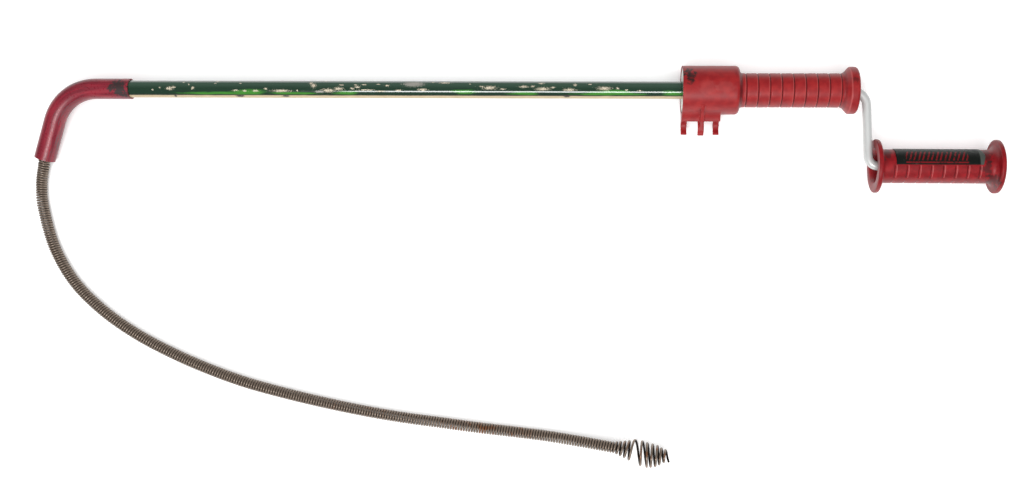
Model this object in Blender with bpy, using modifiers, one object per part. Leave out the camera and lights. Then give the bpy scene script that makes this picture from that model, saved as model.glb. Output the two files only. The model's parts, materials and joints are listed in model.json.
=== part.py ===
"""Hand-cranked closet auger, a drain snake with a bent guide tube and a bulb-headed cable.

It lies on a floor at z = 0. The guide tube runs along X with the crank at +X, and the origin is
at the bottom centre of the tool without its free cable. Sizes are in metres.
"""

import math

import bmesh
import bpy
from mathutils import Matrix, Vector

MM = 0.001
GAP = 0.3 * MM  # between pieces that touch

# Guide tube: 3/4 in steel tube, 1 mm wall, bent at the bowl end
TUBE_RADIUS = 9.525 * MM
TUBE_WALL = 1.0 * MM
TUBE_END = 164.0 * MM  # inside the handle, measured from the barrel's open end like all lengths here
BEND_START = -651.8 * MM
BEND_RADIUS = 54.0 * MM
BEND_ANGLE = math.radians(70.0)
LEG_LENGTH = 46.0 * MM  # straight part of the guard after the bend
TUBE_SHORTER = 6.0 * MM  # how far the steel stops inside the guard's mouth

# Bowl guard: vinyl sleeve over the bent end
GUARD_RADIUS = 11.4 * MM
GUARD_BORE = 10.0 * MM
GUARD_OVERLAP = 39.7 * MM  # straight part over the tube before the bend

# Handle: one moulding of barrel, grip, end flange and cable clip
BARREL_RADIUS = 26.4 * MM
BARREL_LENGTH = 61.8 * MM
BARREL_WALL = 3.0 * MM
SHOULDER_RADIUS = 4.3 * MM
HANDLE_LENGTH = 188.5 * MM
BUSH_FACE = HANDLE_LENGTH - 6.5 * MM  # in a recess that also takes the start of the arm's bend
HANDLE_GRIP_RADIUS = 18.3 * MM
HANDLE_FLANGE_RADIUS = 25.3 * MM
GROOVE_FIRST = 68.7 * MM
GROOVE_PITCH = 12.7 * MM
GROOVE_COUNT = 9
GROOVE_DEPTH = 0.9 * MM
GROOVE_WIDTH = 1.7 * MM

# Storage clip on the barrel, which snaps over the cable
CLIP_WIDTH = 42.1 * MM
CLIP_BASE_END = 33.6 * MM  # from the tube's axis
CLIP_CENTRE = 40.6 * MM  # the stored cable's centre, from the tube's axis
CLIP_CHANNEL_RADIUS = 7.0 * MM
CLIP_FINGER_THICKNESS = 2.3 * MM
CLIP_FINGER_WIDTH = 6.8 * MM
CLIP_WRAP = math.radians(145)

# Crank: one bent 3/8 in rod, with its grip on the outer pin
ROD_RADIUS = 4.7625 * MM
ARM_BEND = 17 * MM
ROD_BEND = 11.2 * MM
ROD_INNER_END = -629.7 * MM
CRANK_THROW = 82.0 * MM
ARM_AT = 199.5 * MM
ARM_LEAN = 2.3 * MM  # how much further out the arm ends than it starts
PIN_END = 326.0 * MM
GRIP_START = 206.9 * MM
GRIP_END = 339.1 * MM
GRIP_RADIUS = 18.2 * MM
GRIP_FLANGE_RADIUS = 28.9 * MM
GRIP_RIM = 4.9 * MM
GRIP_BORE = 15.5 * MM
GRIP_MOUTH = 19.0 * MM
CAP_RADIUS = 20.0 * MM
CAP_THICKNESS = 3.4 * MM
CAP_PROUD = 0.3 * MM
LABEL_START = 226.4 * MM
LABEL_END = 320.0 * MM

# Cable: 1/2 in closed coil of 2.6 mm wire, which opens into the bulb at its end
CABLE_RADIUS = 6.5 * MM
WIRE_RADIUS = 1.3 * MM

AXIS_Z = BARREL_RADIUS
PIN_Z = GRIP_FLANGE_RADIUS
CRANK_LIFT = math.asin((PIN_Z - AXIS_Z) / CRANK_THROW)

# Along and across offsets of the guard's mouth from the start of the bend
MOUTH_BACK = BEND_RADIUS * math.sin(BEND_ANGLE) + LEG_LENGTH * math.cos(BEND_ANGLE)
MOUTH_DROP = BEND_RADIUS * (1 - math.cos(BEND_ANGLE)) + LEG_LENGTH * math.sin(BEND_ANGLE)
# The tool rolls about its tube until the guard's mouth rests on the floor
ROLL = math.asin((AXIS_Z - 11.22 * MM) / MOUTH_DROP)

REACH_BACK = -BEND_START + MOUTH_BACK + GUARD_RADIUS * math.sin(BEND_ANGLE)
REACH_FRONT = GRIP_END + CAP_PROUD
HANDLE_X = (REACH_BACK - REACH_FRONT) / 2
AXIS_Y = (CRANK_THROW * math.cos(CRANK_LIFT) + GRIP_FLANGE_RADIUS - BARREL_RADIUS) / 2

# The free cable's route along the floor after the guard's mouth: x, y, z of its centre in mm
CABLE_ROUTE = [
    (-525.6, -43.6, 9.4), (-528.2, -54.5, 7.6), (-529.4, -68.7, 6.6), (-526.9, -91.5, 6.6),
    (-514.0, -135.0, 6.6), (-490.6, -174.4, 6.6), (-457.7, -206.3, 6.6), (-419.7, -232.2, 6.6),
    (-378.9, -253.2, 6.6), (-336.5, -271.0, 6.6), (-293.2, -285.9, 6.6), (-249.0, -297.4, 6.6),
    (-204.6, -307.3, 6.6), (-160.0, -315.9, 6.6), (-115.3, -322.9, 6.6), (-70.4, -328.2, 6.6),
    (-25.8, -333.4, 6.6), (18.8, -337.9, 6.6), (52.0, -341.5, 7.5), (85.4, -345.9, 10.2),
]
CABLE_TIP = Vector((122.7, -351.4, 13.2)) * MM
BULB_AXIS = Vector((61.8, -8.6, 3.6)).normalized()
CABLE_STEP = 16 * MM  # between the points of the cable's solid

# The bulb's outline, half a turn at a time: distance from the cable's tip, and the wire's outer edge
# on the -Y and the +Y side in turn, both in mm
BULB_TURNS = [
    (2.1, -6.3), (4.5, 7.6), (5.8, -7.3), (8.6, 8.5), (10.0, -8.8), (13.3, 9.7), (14.8, -9.9),
    (18.0, 10.9), (20.2, -11.8), (23.7, 13.1), (33.6, -15.8), (31.9, 13.1), (40.9, -16.4), (37.7, 12.0),
    (45.1, -15.6), (43.7, 11.6), (49.9, -14.0), (49.3, 10.8), (54.1, -11.6), (53.9, 8.8), (58.6, -8.2),
    (58.5, 7.6), (64.0, -6.8),
]
BULB_STEPS = 6  # points in each half turn of the wire

COLLAR_CENTRE = 51.6 * MM
SCREW_RADIUS = 2.4 * MM
ROLL_PIN_RADIUS = 1.5 * MM
COUPLING_RADIUS = 7.9 * MM
COUPLING_LENGTH = 30 * MM
COUPLING_WEB = 2 * MM
COUPLING_START = ROD_INNER_END - GAP - COUPLING_WEB / 2 - COUPLING_LENGTH / 2


# Scene and helpers

for old in list(bpy.data.objects):
    bpy.data.objects.remove(old, do_unlink=True)

PARTS = bpy.data.collections.new("closet_auger")
CUTTERS = bpy.data.collections.new("cutters")
bpy.context.scene.collection.children.link(PARTS)
bpy.context.scene.collection.children.link(CUTTERS)


def material(name, colour, roughness, metallic=0.0):
    made = bpy.data.materials.new(name)
    made.use_nodes = True
    shader = made.node_tree.nodes["Principled BSDF"]
    shader.inputs["Base Color"].default_value = (*colour, 1)
    shader.inputs["Roughness"].default_value = roughness
    shader.inputs["Metallic"].default_value = metallic
    return made


GREEN_PAINT = material("green_paint", (0.02, 0.09, 0.06), 0.3)
RED_VINYL = material("red_vinyl", (0.36, 0.03, 0.05), 0.45)
RED_PLASTIC = material("red_plastic", (0.40, 0.025, 0.03), 0.5)
DEEP_RED = material("deep_red_plastic", (0.33, 0.015, 0.025), 0.4)
PLATED_STEEL = material("plated_steel", (0.72, 0.73, 0.72), 0.35, 1.0)
DARK_STEEL = material("dark_steel", (0.10, 0.075, 0.06), 0.4, 1.0)
PLAIN_STEEL = material("plain_steel", (0.45, 0.44, 0.42), 0.4, 1.0)
NYLON = material("nylon", (0.75, 0.73, 0.66), 0.5)
FELT = material("felt", (0.22, 0.2, 0.18), 0.95)
BLACK_LABEL = material("black_label", (0.015, 0.016, 0.015), 0.5)


def empty(name, location, roll=0.0, parent=None):
    made = bpy.data.objects.new(name, None)
    made.location = location
    made.rotation_euler = (roll, 0, 0)
    made.parent = parent
    PARTS.objects.link(made)
    return made


def smooth(mesh):
    mesh.shade_smooth()
    mesh.set_sharp_from_angle(angle=math.radians(35))


def add(name, data, finish, parent, collection=PARTS):
    made = bpy.data.objects.new(name, data)
    made.parent = parent
    collection.objects.link(made)
    if finish:
        data.materials.append(finish)
    return made


def turned(name, profile, finish, parent, steps=32, collection=PARTS, closed=True):
    """A profile of (along, radius) points turned about the parent's X axis. Its points run from
    +X to -X on the outer side, and a hollow piece comes back along its bore."""
    mesh = bpy.data.meshes.new(name)
    points = [(radius, 0, along) for along, radius in profile]
    last = len(points) - 1
    edges = [(i, i + 1) for i in range(last)] + ([(last, 0)] if closed else [])
    mesh.from_pydata(points, edges, [])
    made = add(name, mesh, finish, parent, collection)
    made.rotation_euler = (0, math.pi / 2, 0)
    screw = made.modifiers.new("turn", "SCREW")
    screw.steps = screw.render_steps = steps
    screw.use_merge_vertices = True
    screw.merge_threshold = 0.00001
    return made


def ring(name, start, end, outer, bore, finish, parent, steps=32):
    return turned(name, [(end, bore), (end, outer), (start, outer), (start, bore)], finish, parent, steps)


def bent_path(points, bends, steps):
    """The points of a polyline whose inner corners are rounded, each to its own radius."""
    path = [points[0]]
    for before, corner, after, bend in zip(points, points[1:], points[2:], bends):
        into, out = (corner - before).normalized(), (after - corner).normalized()
        turn = into.angle(out)
        start = corner - into * bend * math.tan(turn / 2)
        side = (out - into * into.dot(out)).normalized()
        for i in range(steps + 1):
            angle = turn * i / steps
            path.append(start + into * bend * math.sin(angle) + side * bend * (1 - math.cos(angle)))
    path.append(points[-1])
    return path


def tube_curve(name, path, radius, resolution, finish, parent, capped=True, collection=PARTS):
    curve = bpy.data.curves.new(name, "CURVE")
    curve.dimensions = "3D"
    curve.bevel_depth = radius
    curve.bevel_resolution = resolution
    curve.use_fill_caps = capped
    spline = curve.splines.new("POLY")
    spline.points.add(len(path) - 1)
    for point, place in zip(spline.points, path):
        point.co = (*place, 1)
        point.radius = 1
    return add(name, curve, finish, parent, collection)


def as_mesh(curve_object):
    """The curve as a mesh object of the same name, its caps welded on."""
    bpy.context.view_layer.update()
    graph = bpy.context.evaluated_depsgraph_get()
    mesh = bpy.data.meshes.new_from_object(curve_object.evaluated_get(graph))
    shape = bmesh.new()
    shape.from_mesh(mesh)
    bmesh.ops.remove_doubles(shape, verts=shape.verts, dist=0.00001)
    shape.to_mesh(mesh)
    shape.free()
    name, parent = curve_object.name, curve_object.parent
    collection = curve_object.users_collection[0]
    bpy.data.objects.remove(curve_object, do_unlink=True)
    mesh.name = name
    made = bpy.data.objects.new(name, mesh)
    made.parent = parent
    collection.objects.link(made)
    return made


def hollow_tube(name, path, radius, wall, resolution, finish, parent):
    made = as_mesh(tube_curve(name, path, radius, resolution, finish, parent, capped=False))
    shell = made.modifiers.new("wall", "SOLIDIFY")
    shell.thickness = wall
    shell.offset = -1
    shell.use_even_offset = True
    smooth(made.data)
    return made


def cylinder(name, radius, length, place, direction, finish, parent, collection=PARTS, sides=16):
    """A solid cylinder centred on place, along direction."""
    mesh = bpy.data.meshes.new(name)
    shape = bmesh.new()
    turn = Vector((0, 0, 1)).rotation_difference(Vector(direction)).to_matrix().to_4x4()
    bmesh.ops.create_cone(
        shape, cap_ends=True, segments=sides, radius1=radius, radius2=radius, depth=length,
        matrix=Matrix.Translation(place) @ turn,
    )
    shape.to_mesh(mesh)
    shape.free()
    return add(name, mesh, finish, parent, collection)


def boolean(target, tool, operation="DIFFERENCE"):
    modifier = target.modifiers.new(tool.name, "BOOLEAN")
    modifier.operation = operation
    modifier.object = tool
    tool.hide_render = True
    tool.display_type = "WIRE"


def plate(name, outline, start, end, parent):
    """An outline of (y, z) points, extruded along X from start to end, for a boolean."""
    curve = bpy.data.curves.new(name, "CURVE")
    curve.dimensions = "2D"
    curve.fill_mode = "BOTH"
    curve.extrude = (end - start) / 2
    spline = curve.splines.new("POLY")
    spline.points.add(len(outline) - 1)
    spline.use_cyclic_u = True
    for point, (across, up) in zip(spline.points, outline):
        point.co = (across, up, 0, 1)
    made = as_mesh(add(name, curve, None, parent, CUTTERS))
    made.rotation_euler = (math.pi / 2, 0, math.pi / 2)
    made.location = ((start + end) / 2, 0, 0)
    return made


def smooth_route(points, step):
    """Points at even steps along a Catmull-Rom curve through the given points."""
    padded = [points[0] * 2 - points[1], *points, points[-1] * 2 - points[-2]]
    fine = []
    for a, b, c, d in zip(padded, padded[1:], padded[2:], padded[3:]):
        for i in range(20):
            t = i / 20
            fine.append(
                0.5 * (2 * b + (c - a) * t + (2 * a - 5 * b + 4 * c - d) * t**2
                       + (3 * b - 3 * c + d - a) * t**3)
            )
    fine.append(points[-1])
    length = sum((q - p).length for p, q in zip(fine, fine[1:]))
    count = round(length / step)
    even, walked, target = [fine[0]], 0.0, length / count
    for p, q in zip(fine, fine[1:]):
        span = (q - p).length
        while walked + span >= target * len(even) and len(even) < count:
            even.append(p.lerp(q, (target * len(even) - walked) / span))
        walked += span
    return [*even, fine[-1]]


GUIDE = empty("guide_frame", (HANDLE_X, AXIS_Y, AXIS_Z), roll=ROLL)
CRANK = empty("crank_frame", (HANDLE_X, AXIS_Y, AXIS_Z), roll=-CRANK_LIFT)
PIN = empty("pin_frame", (0, -CRANK_THROW, 0), parent=CRANK)
GRIP = empty("grip_frame", (0, 0, 0), parent=PIN)
ROUTE = empty("cable_frame", (0, 0, 0))
BULB = empty("bulb_frame", CABLE_TIP)
BULB.rotation_euler = BULB_AXIS.to_track_quat("X", "Z").to_euler()
bpy.context.view_layer.update()


# Guide tube and bowl guard


def guide_path(start, leg, steps):
    """The guide's centreline from start, round the bend, to leg metres after it."""
    corner = BEND_START - BEND_RADIUS * math.tan(BEND_ANGLE / 2)
    beyond = BEND_RADIUS * math.tan(BEND_ANGLE / 2) + leg
    direction = Vector((-math.cos(BEND_ANGLE), -math.sin(BEND_ANGLE), 0))
    points = [Vector((start, 0, 0)), Vector((corner, 0, 0))]
    return bent_path([*points, points[1] + direction * beyond], [BEND_RADIUS], steps)


hollow_tube("guide_tube", guide_path(TUBE_END, LEG_LENGTH - TUBE_SHORTER, 10),
            TUBE_RADIUS, TUBE_WALL, 6, GREEN_PAINT, GUIDE)
hollow_tube("bowl_guard", guide_path(BEND_START + GUARD_OVERLAP, LEG_LENGTH, 12),
            GUARD_RADIUS, GUARD_RADIUS - GUARD_BORE, 8, RED_VINYL, GUIDE)


# Handle moulding

TUBE_BORE = TUBE_RADIUS + GAP
PLATE_RADIUS = 25.2 * MM
PLATE_RECESS = 2.6 * MM
BUSH_FLANGE_RADIUS = 12.0 * MM
BUSH_FLANGE = 2.0 * MM


def arc(centre_along, centre_radius, radius, start, end, steps):
    """Profile points round a corner, by the angle from the +X direction towards the outside."""
    angles = [math.radians(start + (end - start) * i / steps) for i in range(steps + 1)]
    return [(centre_along + radius * math.cos(a), centre_radius + radius * math.sin(a)) for a in angles]


def groove(centre, radius):
    half = GROOVE_WIDTH / 2
    return [(centre + half, radius), (centre, radius - GROOVE_DEPTH), (centre - half, radius)]


def handle_profile():
    rim = 3 * MM
    points = [
        (HANDLE_LENGTH, BUSH_FLANGE_RADIUS + GAP),
        *arc(HANDLE_LENGTH - rim, HANDLE_FLANGE_RADIUS - rim, rim, 0, 90, 3),
        (HANDLE_LENGTH - 9.0 * MM, HANDLE_FLANGE_RADIUS),
        (HANDLE_LENGTH - 9.6 * MM, HANDLE_FLANGE_RADIUS - 0.5 * MM),
        (HANDLE_LENGTH - 13.6 * MM, HANDLE_GRIP_RADIUS + 2.2 * MM),
        (HANDLE_LENGTH - 15.0 * MM, HANDLE_GRIP_RADIUS + 0.8 * MM),
    ]
    for i in reversed(range(GROOVE_COUNT)):
        points += groove(GROOVE_FIRST + GROOVE_PITCH * i, HANDLE_GRIP_RADIUS)
    corner = BARREL_LENGTH - SHOULDER_RADIUS
    points += [
        (BARREL_LENGTH + 1.8 * MM, HANDLE_GRIP_RADIUS),
        (BARREL_LENGTH + 0.4 * MM, HANDLE_GRIP_RADIUS + 1.6 * MM),
        *arc(corner, BARREL_RADIUS - SHOULDER_RADIUS, SHOULDER_RADIUS, 0, 90, 4),
        (0.5 * MM, BARREL_RADIUS),
        (0, BARREL_RADIUS - 0.5 * MM),
        (0, PLATE_RADIUS + GAP),
        (PLATE_RECESS, PLATE_RADIUS + GAP),
        (PLATE_RECESS, BARREL_RADIUS - BARREL_WALL),
        (corner, BARREL_RADIUS - BARREL_WALL),
        (corner, TUBE_BORE),
        (BUSH_FACE - BUSH_FLANGE - GAP, TUBE_BORE),
        (BUSH_FACE - BUSH_FLANGE - GAP, BUSH_FLANGE_RADIUS + GAP),
    ]
    return points


def clip_finger(side):
    """A finger's (y, z) outline: a C round the stored cable, on the +Z or the -Z side."""
    inner, outer = CLIP_CHANNEL_RADIUS, CLIP_CHANNEL_RADIUS + CLIP_FINGER_THICKNESS
    start, steps = math.radians(8), 9

    def on(radius, angle):
        return (radius * math.cos(angle) - CLIP_CENTRE, side * radius * math.sin(angle))

    angles = [start + (CLIP_WRAP - start) * i / steps for i in range(steps + 1)]
    lip = [on(outer + 0.9 * MM, CLIP_WRAP + 0.04), on(outer - 0.4 * MM, CLIP_WRAP + 0.2)]
    return [on(outer, a) for a in angles] + lip + [on(inner, a) for a in reversed(angles)]


# y and z in mm: the upper half of the clip's base, and the rib over its middle finger
CLIP_BASE_HALF = [(-24.8, 7.8), (-19.5, 17.2), (-19.0, 18.3), (-22.8, 13.6), (-26.3, 10.3), (-30.0, 8.4)]
CLIP_RIB = [(-15.2, 19.5), (-15.7, 22.2), (-20.0, 19.8), (-27.0, 14.4), (-34.0, 10.3), (-40.6, 9.3),
            (-40.6, 7.2), (-33.0, 5.0), (-24.5, 7.0)]


def clip_base():
    """The base's (y, z) outline, from just under the barrel's skin out to the fingers."""
    upper = [(y * MM, z * MM) for y, z in CLIP_BASE_HALF] + [(-CLIP_BASE_END, 7.8 * MM)]
    lower = [(y, -z) for y, z in reversed(upper)]
    return [(-26.0 * MM, 0), *upper, *lower]


handle = turned("handle_body", handle_profile(), RED_PLASTIC, GUIDE, steps=40)
first = 0.3 * MM
middle = first + CLIP_WIDTH / 2 - CLIP_FINGER_WIDTH / 2
clip_pieces = [plate("clip_base", clip_base(), first, first + CLIP_WIDTH, GUIDE)]
clip_pieces += [
    plate("clip_finger_left", clip_finger(-1), first - 0.05 * MM, first + CLIP_FINGER_WIDTH, GUIDE),
    plate("clip_finger_right", clip_finger(-1), first + CLIP_WIDTH - CLIP_FINGER_WIDTH,
          first + CLIP_WIDTH + 0.05 * MM, GUIDE),
    plate("clip_finger_middle", clip_finger(1), middle, middle + CLIP_FINGER_WIDTH, GUIDE),
    plate("clip_rib", [(y * MM, z * MM) for y, z in CLIP_RIB], middle + 0.1 * MM,
          middle + CLIP_FINGER_WIDTH - 0.1 * MM, GUIDE),
]
for piece in clip_pieces:
    boolean(handle, piece, "UNION")


# Inside the handle

turned(
    "end_plate",
    [
        (7.0 * MM, TUBE_BORE), (7.0 * MM, 11.2 * MM), (2.3 * MM, 11.2 * MM), (2.3 * MM, PLATE_RADIUS),
        (1.0 * MM, PLATE_RADIUS), (1.0 * MM, 22.6 * MM), (0.5 * MM, 21.8 * MM), (0.5 * MM, 14.0 * MM),
        (1.0 * MM, 13.0 * MM), (1.0 * MM, TUBE_BORE),
    ],
    PLATED_STEEL, GUIDE, steps=40,
)
collar = ring("tube_collar", COLLAR_CENTRE - 5.6 * MM, COLLAR_CENTRE + 5.5 * MM, 15 * MM, TUBE_BORE,
              PLAIN_STEEL, GUIDE)
boolean(collar, cylinder("screw_hole", SCREW_RADIUS + GAP, 12 * MM, (COLLAR_CENTRE, 0, 14 * MM),
                         (0, 0, 1), None, GUIDE, CUTTERS))
set_screw = cylinder("collar_set_screw", SCREW_RADIUS, 5 * MM, (COLLAR_CENTRE, 0, TUBE_BORE + 2.5 * MM),
                     (0, 0, 1), PLAIN_STEEL, GUIDE)
boolean(set_screw, cylinder("screw_socket", 1.3 * MM, 4 * MM, (COLLAR_CENTRE, 0, TUBE_BORE + 5 * MM),
                            (0, 0, 1), None, GUIDE, CUTTERS, sides=6))
ROD_BORE = ROD_RADIUS + GAP
turned(
    "rod_bush",
    [
        (BUSH_FACE, ROD_BORE), (BUSH_FACE, BUSH_FLANGE_RADIUS),
        (BUSH_FACE - BUSH_FLANGE, BUSH_FLANGE_RADIUS), (BUSH_FACE - BUSH_FLANGE, TUBE_RADIUS),
        (TUBE_END + 4 * MM, TUBE_RADIUS), (TUBE_END + 4 * MM, ROD_BORE),
    ],
    NYLON, GUIDE,
)
ring(
    "rod_wiper", TUBE_END + GAP, TUBE_END + 4 * MM - GAP, TUBE_RADIUS - 0.2 * MM, ROD_BORE,
    FELT, GUIDE, 24,
)


# Crank rod and what is on it

rod_path = bent_path(
    [
        Vector((ROD_INNER_END, 0, 0)), Vector((ARM_AT, 0, 0)),
        Vector((ARM_AT + ARM_LEAN, -CRANK_THROW, 0)), Vector((PIN_END, -CRANK_THROW, 0)),
    ],
    [ARM_BEND, ROD_BEND], 6,
)
rod = as_mesh(tube_curve("crank_rod", rod_path, ROD_RADIUS, 6, PLATED_STEEL, CRANK))
smooth(rod.data)
pin_place = (ROD_INNER_END + 7 * MM, 0, 0)
boolean(rod, cylinder("rod_pin_hole", ROLL_PIN_RADIUS + GAP, 20 * MM, pin_place, (0, 0, 1), None,
                      CRANK, CUTTERS))
coupling_end = COUPLING_START + COUPLING_LENGTH
web_start = COUPLING_START + COUPLING_LENGTH / 2 - COUPLING_WEB / 2
coupling = turned(
    "cable_coupling",
    [
        (coupling_end, ROD_BORE), (coupling_end, COUPLING_RADIUS - 0.8 * MM),
        (coupling_end - 2 * MM, COUPLING_RADIUS), (COUPLING_START, COUPLING_RADIUS),
        (COUPLING_START, CABLE_RADIUS + GAP), (web_start, CABLE_RADIUS + GAP), (web_start, 0),
        (web_start + COUPLING_WEB, 0), (web_start + COUPLING_WEB, ROD_BORE),
    ],
    PLAIN_STEEL, CRANK, steps=24,
)
boolean(coupling, cylinder("coupling_pin_hole", ROLL_PIN_RADIUS + GAP, 20 * MM, pin_place, (0, 0, 1),
                           None, CRANK, CUTTERS))
cylinder("coupling_pin", ROLL_PIN_RADIUS, 15.4 * MM, pin_place, (0, 0, 1), PLAIN_STEEL, CRANK, sides=12)
SLEEVE_START = coupling_end + GAP
SLEEVE_LENGTH = 15 * MM
ring("guide_sleeve", SLEEVE_START, SLEEVE_START + SLEEVE_LENGTH, 8.1 * MM, ROD_BORE, NYLON, GUIDE, 24)
ring("sleeve_ring", SLEEVE_START + SLEEVE_LENGTH + GAP, SLEEVE_START + SLEEVE_LENGTH + GAP + 1.5 * MM,
     7.4 * MM, ROD_BORE, PLAIN_STEEL, CRANK, 24)


# Crank grip on the outer pin


def grip_profile():
    rim, back = 1.6 * MM, 6.5 * MM
    cap_seat = GRIP_END + CAP_PROUD - CAP_THICKNESS - GAP
    left = GRIP_START + GRIP_RIM
    right = GRIP_END - GRIP_RIM
    return [
        (GRIP_END, CAP_RADIUS + GAP),
        *arc(GRIP_END - rim, GRIP_FLANGE_RADIUS - rim, rim, 0, 90, 2),
        *arc(right + rim, GRIP_FLANGE_RADIUS - rim, rim, 90, 180, 2),
        *arc(right - back, GRIP_RADIUS + back, back, 0, -90, 4),
        *arc(left + 4 * MM, GRIP_RADIUS + 4 * MM, 4 * MM, -90, -180, 3),
        *arc(left - rim, GRIP_FLANGE_RADIUS - rim, rim, 0, 90, 2),
        *arc(GRIP_START + rim, GRIP_FLANGE_RADIUS - rim, rim, 90, 180, 2),
        (GRIP_START, GRIP_MOUTH),
        (GRIP_START + 1.5 * MM, GRIP_MOUTH - 1.6 * MM),
        (GRIP_START + 7 * MM, GRIP_BORE),
        (cap_seat, GRIP_BORE),
        (cap_seat, CAP_RADIUS + GAP),
    ]


turned("crank_grip", grip_profile(), DEEP_RED, GRIP, steps=40)
BUSH_RADIUS = GRIP_BORE - GAP
INNER_BUSH = 222 * MM
OUTER_BUSH = 306 * MM
BUSH_LENGTH = 12 * MM
WASHER = 1.5 * MM
ring("grip_bush_inner", INNER_BUSH, INNER_BUSH + BUSH_LENGTH, BUSH_RADIUS, ROD_BORE, NYLON, GRIP)
ring("grip_bush_outer", OUTER_BUSH, OUTER_BUSH + BUSH_LENGTH, BUSH_RADIUS, ROD_BORE, NYLON, GRIP)
INNER_WASHER = INNER_BUSH - GAP - WASHER
OUTER_WASHER = OUTER_BUSH + BUSH_LENGTH + GAP
WASHER_RADIUS = 9 * MM
ring("grip_washer_inner", INNER_WASHER, INNER_WASHER + WASHER, WASHER_RADIUS, ROD_BORE, PLATED_STEEL, PIN)
ring("grip_washer_outer", OUTER_WASHER, OUTER_WASHER + WASHER, WASHER_RADIUS, ROD_BORE, PLATED_STEEL, PIN)
NUT = OUTER_WASHER + WASHER + GAP
turned(
    "push_nut",
    [(NUT + 2.4 * MM, ROD_BORE), (NUT + 2.4 * MM, 6.2 * MM), (NUT + 0.9 * MM, 8.5 * MM), (NUT, 8.5 * MM),
     (NUT, 7.6 * MM), (NUT + 1.5 * MM, ROD_BORE)],
    PLAIN_STEEL, PIN, steps=24,
)
turned(
    "grip_end_cap",
    [(GRIP_END + CAP_PROUD, 0), (GRIP_END + CAP_PROUD, CAP_RADIUS),
     (GRIP_END + CAP_PROUD - CAP_THICKNESS, CAP_RADIUS), (GRIP_END + CAP_PROUD - CAP_THICKNESS, 0)],
    DEEP_RED, GRIP, steps=40, closed=False,
)


def label():
    """A thin curved patch over the grip's upper back, a strip turned part of the way round."""
    skin = 0.3 * MM
    outside = GRIP_RADIUS + GAP + skin
    made = turned("grip_label", [(LABEL_END, outside), (LABEL_START, outside)], BLACK_LABEL, GRIP,
                  steps=14, closed=False)
    made.modifiers["turn"].angle = math.radians(88)
    made.matrix_basis = Matrix.Rotation(math.radians(92), 4, "X") @ Matrix.Rotation(math.pi / 2, 4, "Y")
    shell = made.modifiers.new("skin", "SOLIDIFY")
    shell.thickness = skin
    shell.offset = -1


label()


# Cable: the stretch inside the guide, the free stretch and the bulb


def in_world(frame, place):
    return frame.matrix_world @ Vector(place)


cable_inside = guide_path(web_start - GAP, LEG_LENGTH - GAP / 2, 10)
tube_curve("cable_in_guide", cable_inside, CABLE_RADIUS, 3, DARK_STEEL, GUIDE)

leg_direction = Vector((-math.cos(BEND_ANGLE), -math.sin(BEND_ANGLE), 0))
mouth = Vector((BEND_START - MOUTH_BACK, -MOUTH_DROP, 0))
cord_start = in_world(GUIDE, mouth + leg_direction * GAP)
cord_next = in_world(GUIDE, mouth + leg_direction * 4 * MM)
route = smooth_route([cord_next, *(Vector(p) * MM for p in CABLE_ROUTE), CABLE_TIP], CABLE_STEP)
tube_curve("snake_cable", [cord_start, *route], CABLE_RADIUS, 3, DARK_STEEL, ROUTE)


def bulb_path():
    """The wire's centreline: a left-hand coil along X, over the top from -Y to +Y and back below."""
    ends = [(x * MM, y * MM - math.copysign(WIRE_RADIUS, y)) for x, y in BULB_TURNS]
    padded = [ends[0], *ends, ends[-1]]
    path = []
    for before, start, end, after in zip(padded, padded[1:], padded[2:], padded[3:]):
        for i in range(BULB_STEPS):
            t = i / BULB_STEPS
            leave, arrive = (end[0] - before[0]) / 2, (after[0] - start[0]) / 2
            x = (start[0] * (1 - t) ** 2 * (1 + 2 * t) + end[0] * t**2 * (3 - 2 * t)
                 + leave * t * (1 - t) ** 2 - arrive * t**2 * (1 - t))
            y = (start[1] + end[1]) / 2 + (start[1] - end[1]) / 2 * math.cos(math.pi * t)
            path.append((x, y, (end[1] - start[1]) / 2 * math.sin(math.pi * t)))
    return [*path, (*ends[-1], 0)]


tube_curve("bulb_head", bulb_path(), WIRE_RADIUS, 2, DARK_STEEL, BULB)

for obj in PARTS.objects:
    if obj.type == "MESH":
        smooth(obj.data)
        for modifier in obj.modifiers:
            if modifier.type == "SCREW":
                modifier.use_smooth_shade = True
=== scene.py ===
"""Looks of the hand-cranked closet auger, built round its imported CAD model.

Metres, in the row frame: the guide tube runs along X, the crank is at +X, and the floor is z = 0.
Every turned or swept piece stores its unbent place as the attribute "straight": the distance along
its axis, then its two offsets across it. The materials read that, so wear follows a bent tube.
"""

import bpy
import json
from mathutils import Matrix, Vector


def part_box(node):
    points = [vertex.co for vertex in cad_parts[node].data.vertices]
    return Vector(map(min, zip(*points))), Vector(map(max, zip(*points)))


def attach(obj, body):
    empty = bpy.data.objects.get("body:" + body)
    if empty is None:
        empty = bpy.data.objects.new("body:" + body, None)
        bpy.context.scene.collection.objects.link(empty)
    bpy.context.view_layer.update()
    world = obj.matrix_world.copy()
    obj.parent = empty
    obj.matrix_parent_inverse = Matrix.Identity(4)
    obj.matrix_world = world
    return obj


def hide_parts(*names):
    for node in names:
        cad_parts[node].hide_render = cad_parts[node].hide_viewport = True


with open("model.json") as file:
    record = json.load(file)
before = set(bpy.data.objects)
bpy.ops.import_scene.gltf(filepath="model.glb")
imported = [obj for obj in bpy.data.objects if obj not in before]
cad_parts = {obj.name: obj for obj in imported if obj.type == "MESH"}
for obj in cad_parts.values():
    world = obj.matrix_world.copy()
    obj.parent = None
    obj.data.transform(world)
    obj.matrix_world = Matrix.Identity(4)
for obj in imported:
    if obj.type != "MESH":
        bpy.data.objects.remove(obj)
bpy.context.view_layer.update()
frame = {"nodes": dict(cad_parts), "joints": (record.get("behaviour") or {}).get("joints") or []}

import json
import math

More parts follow.
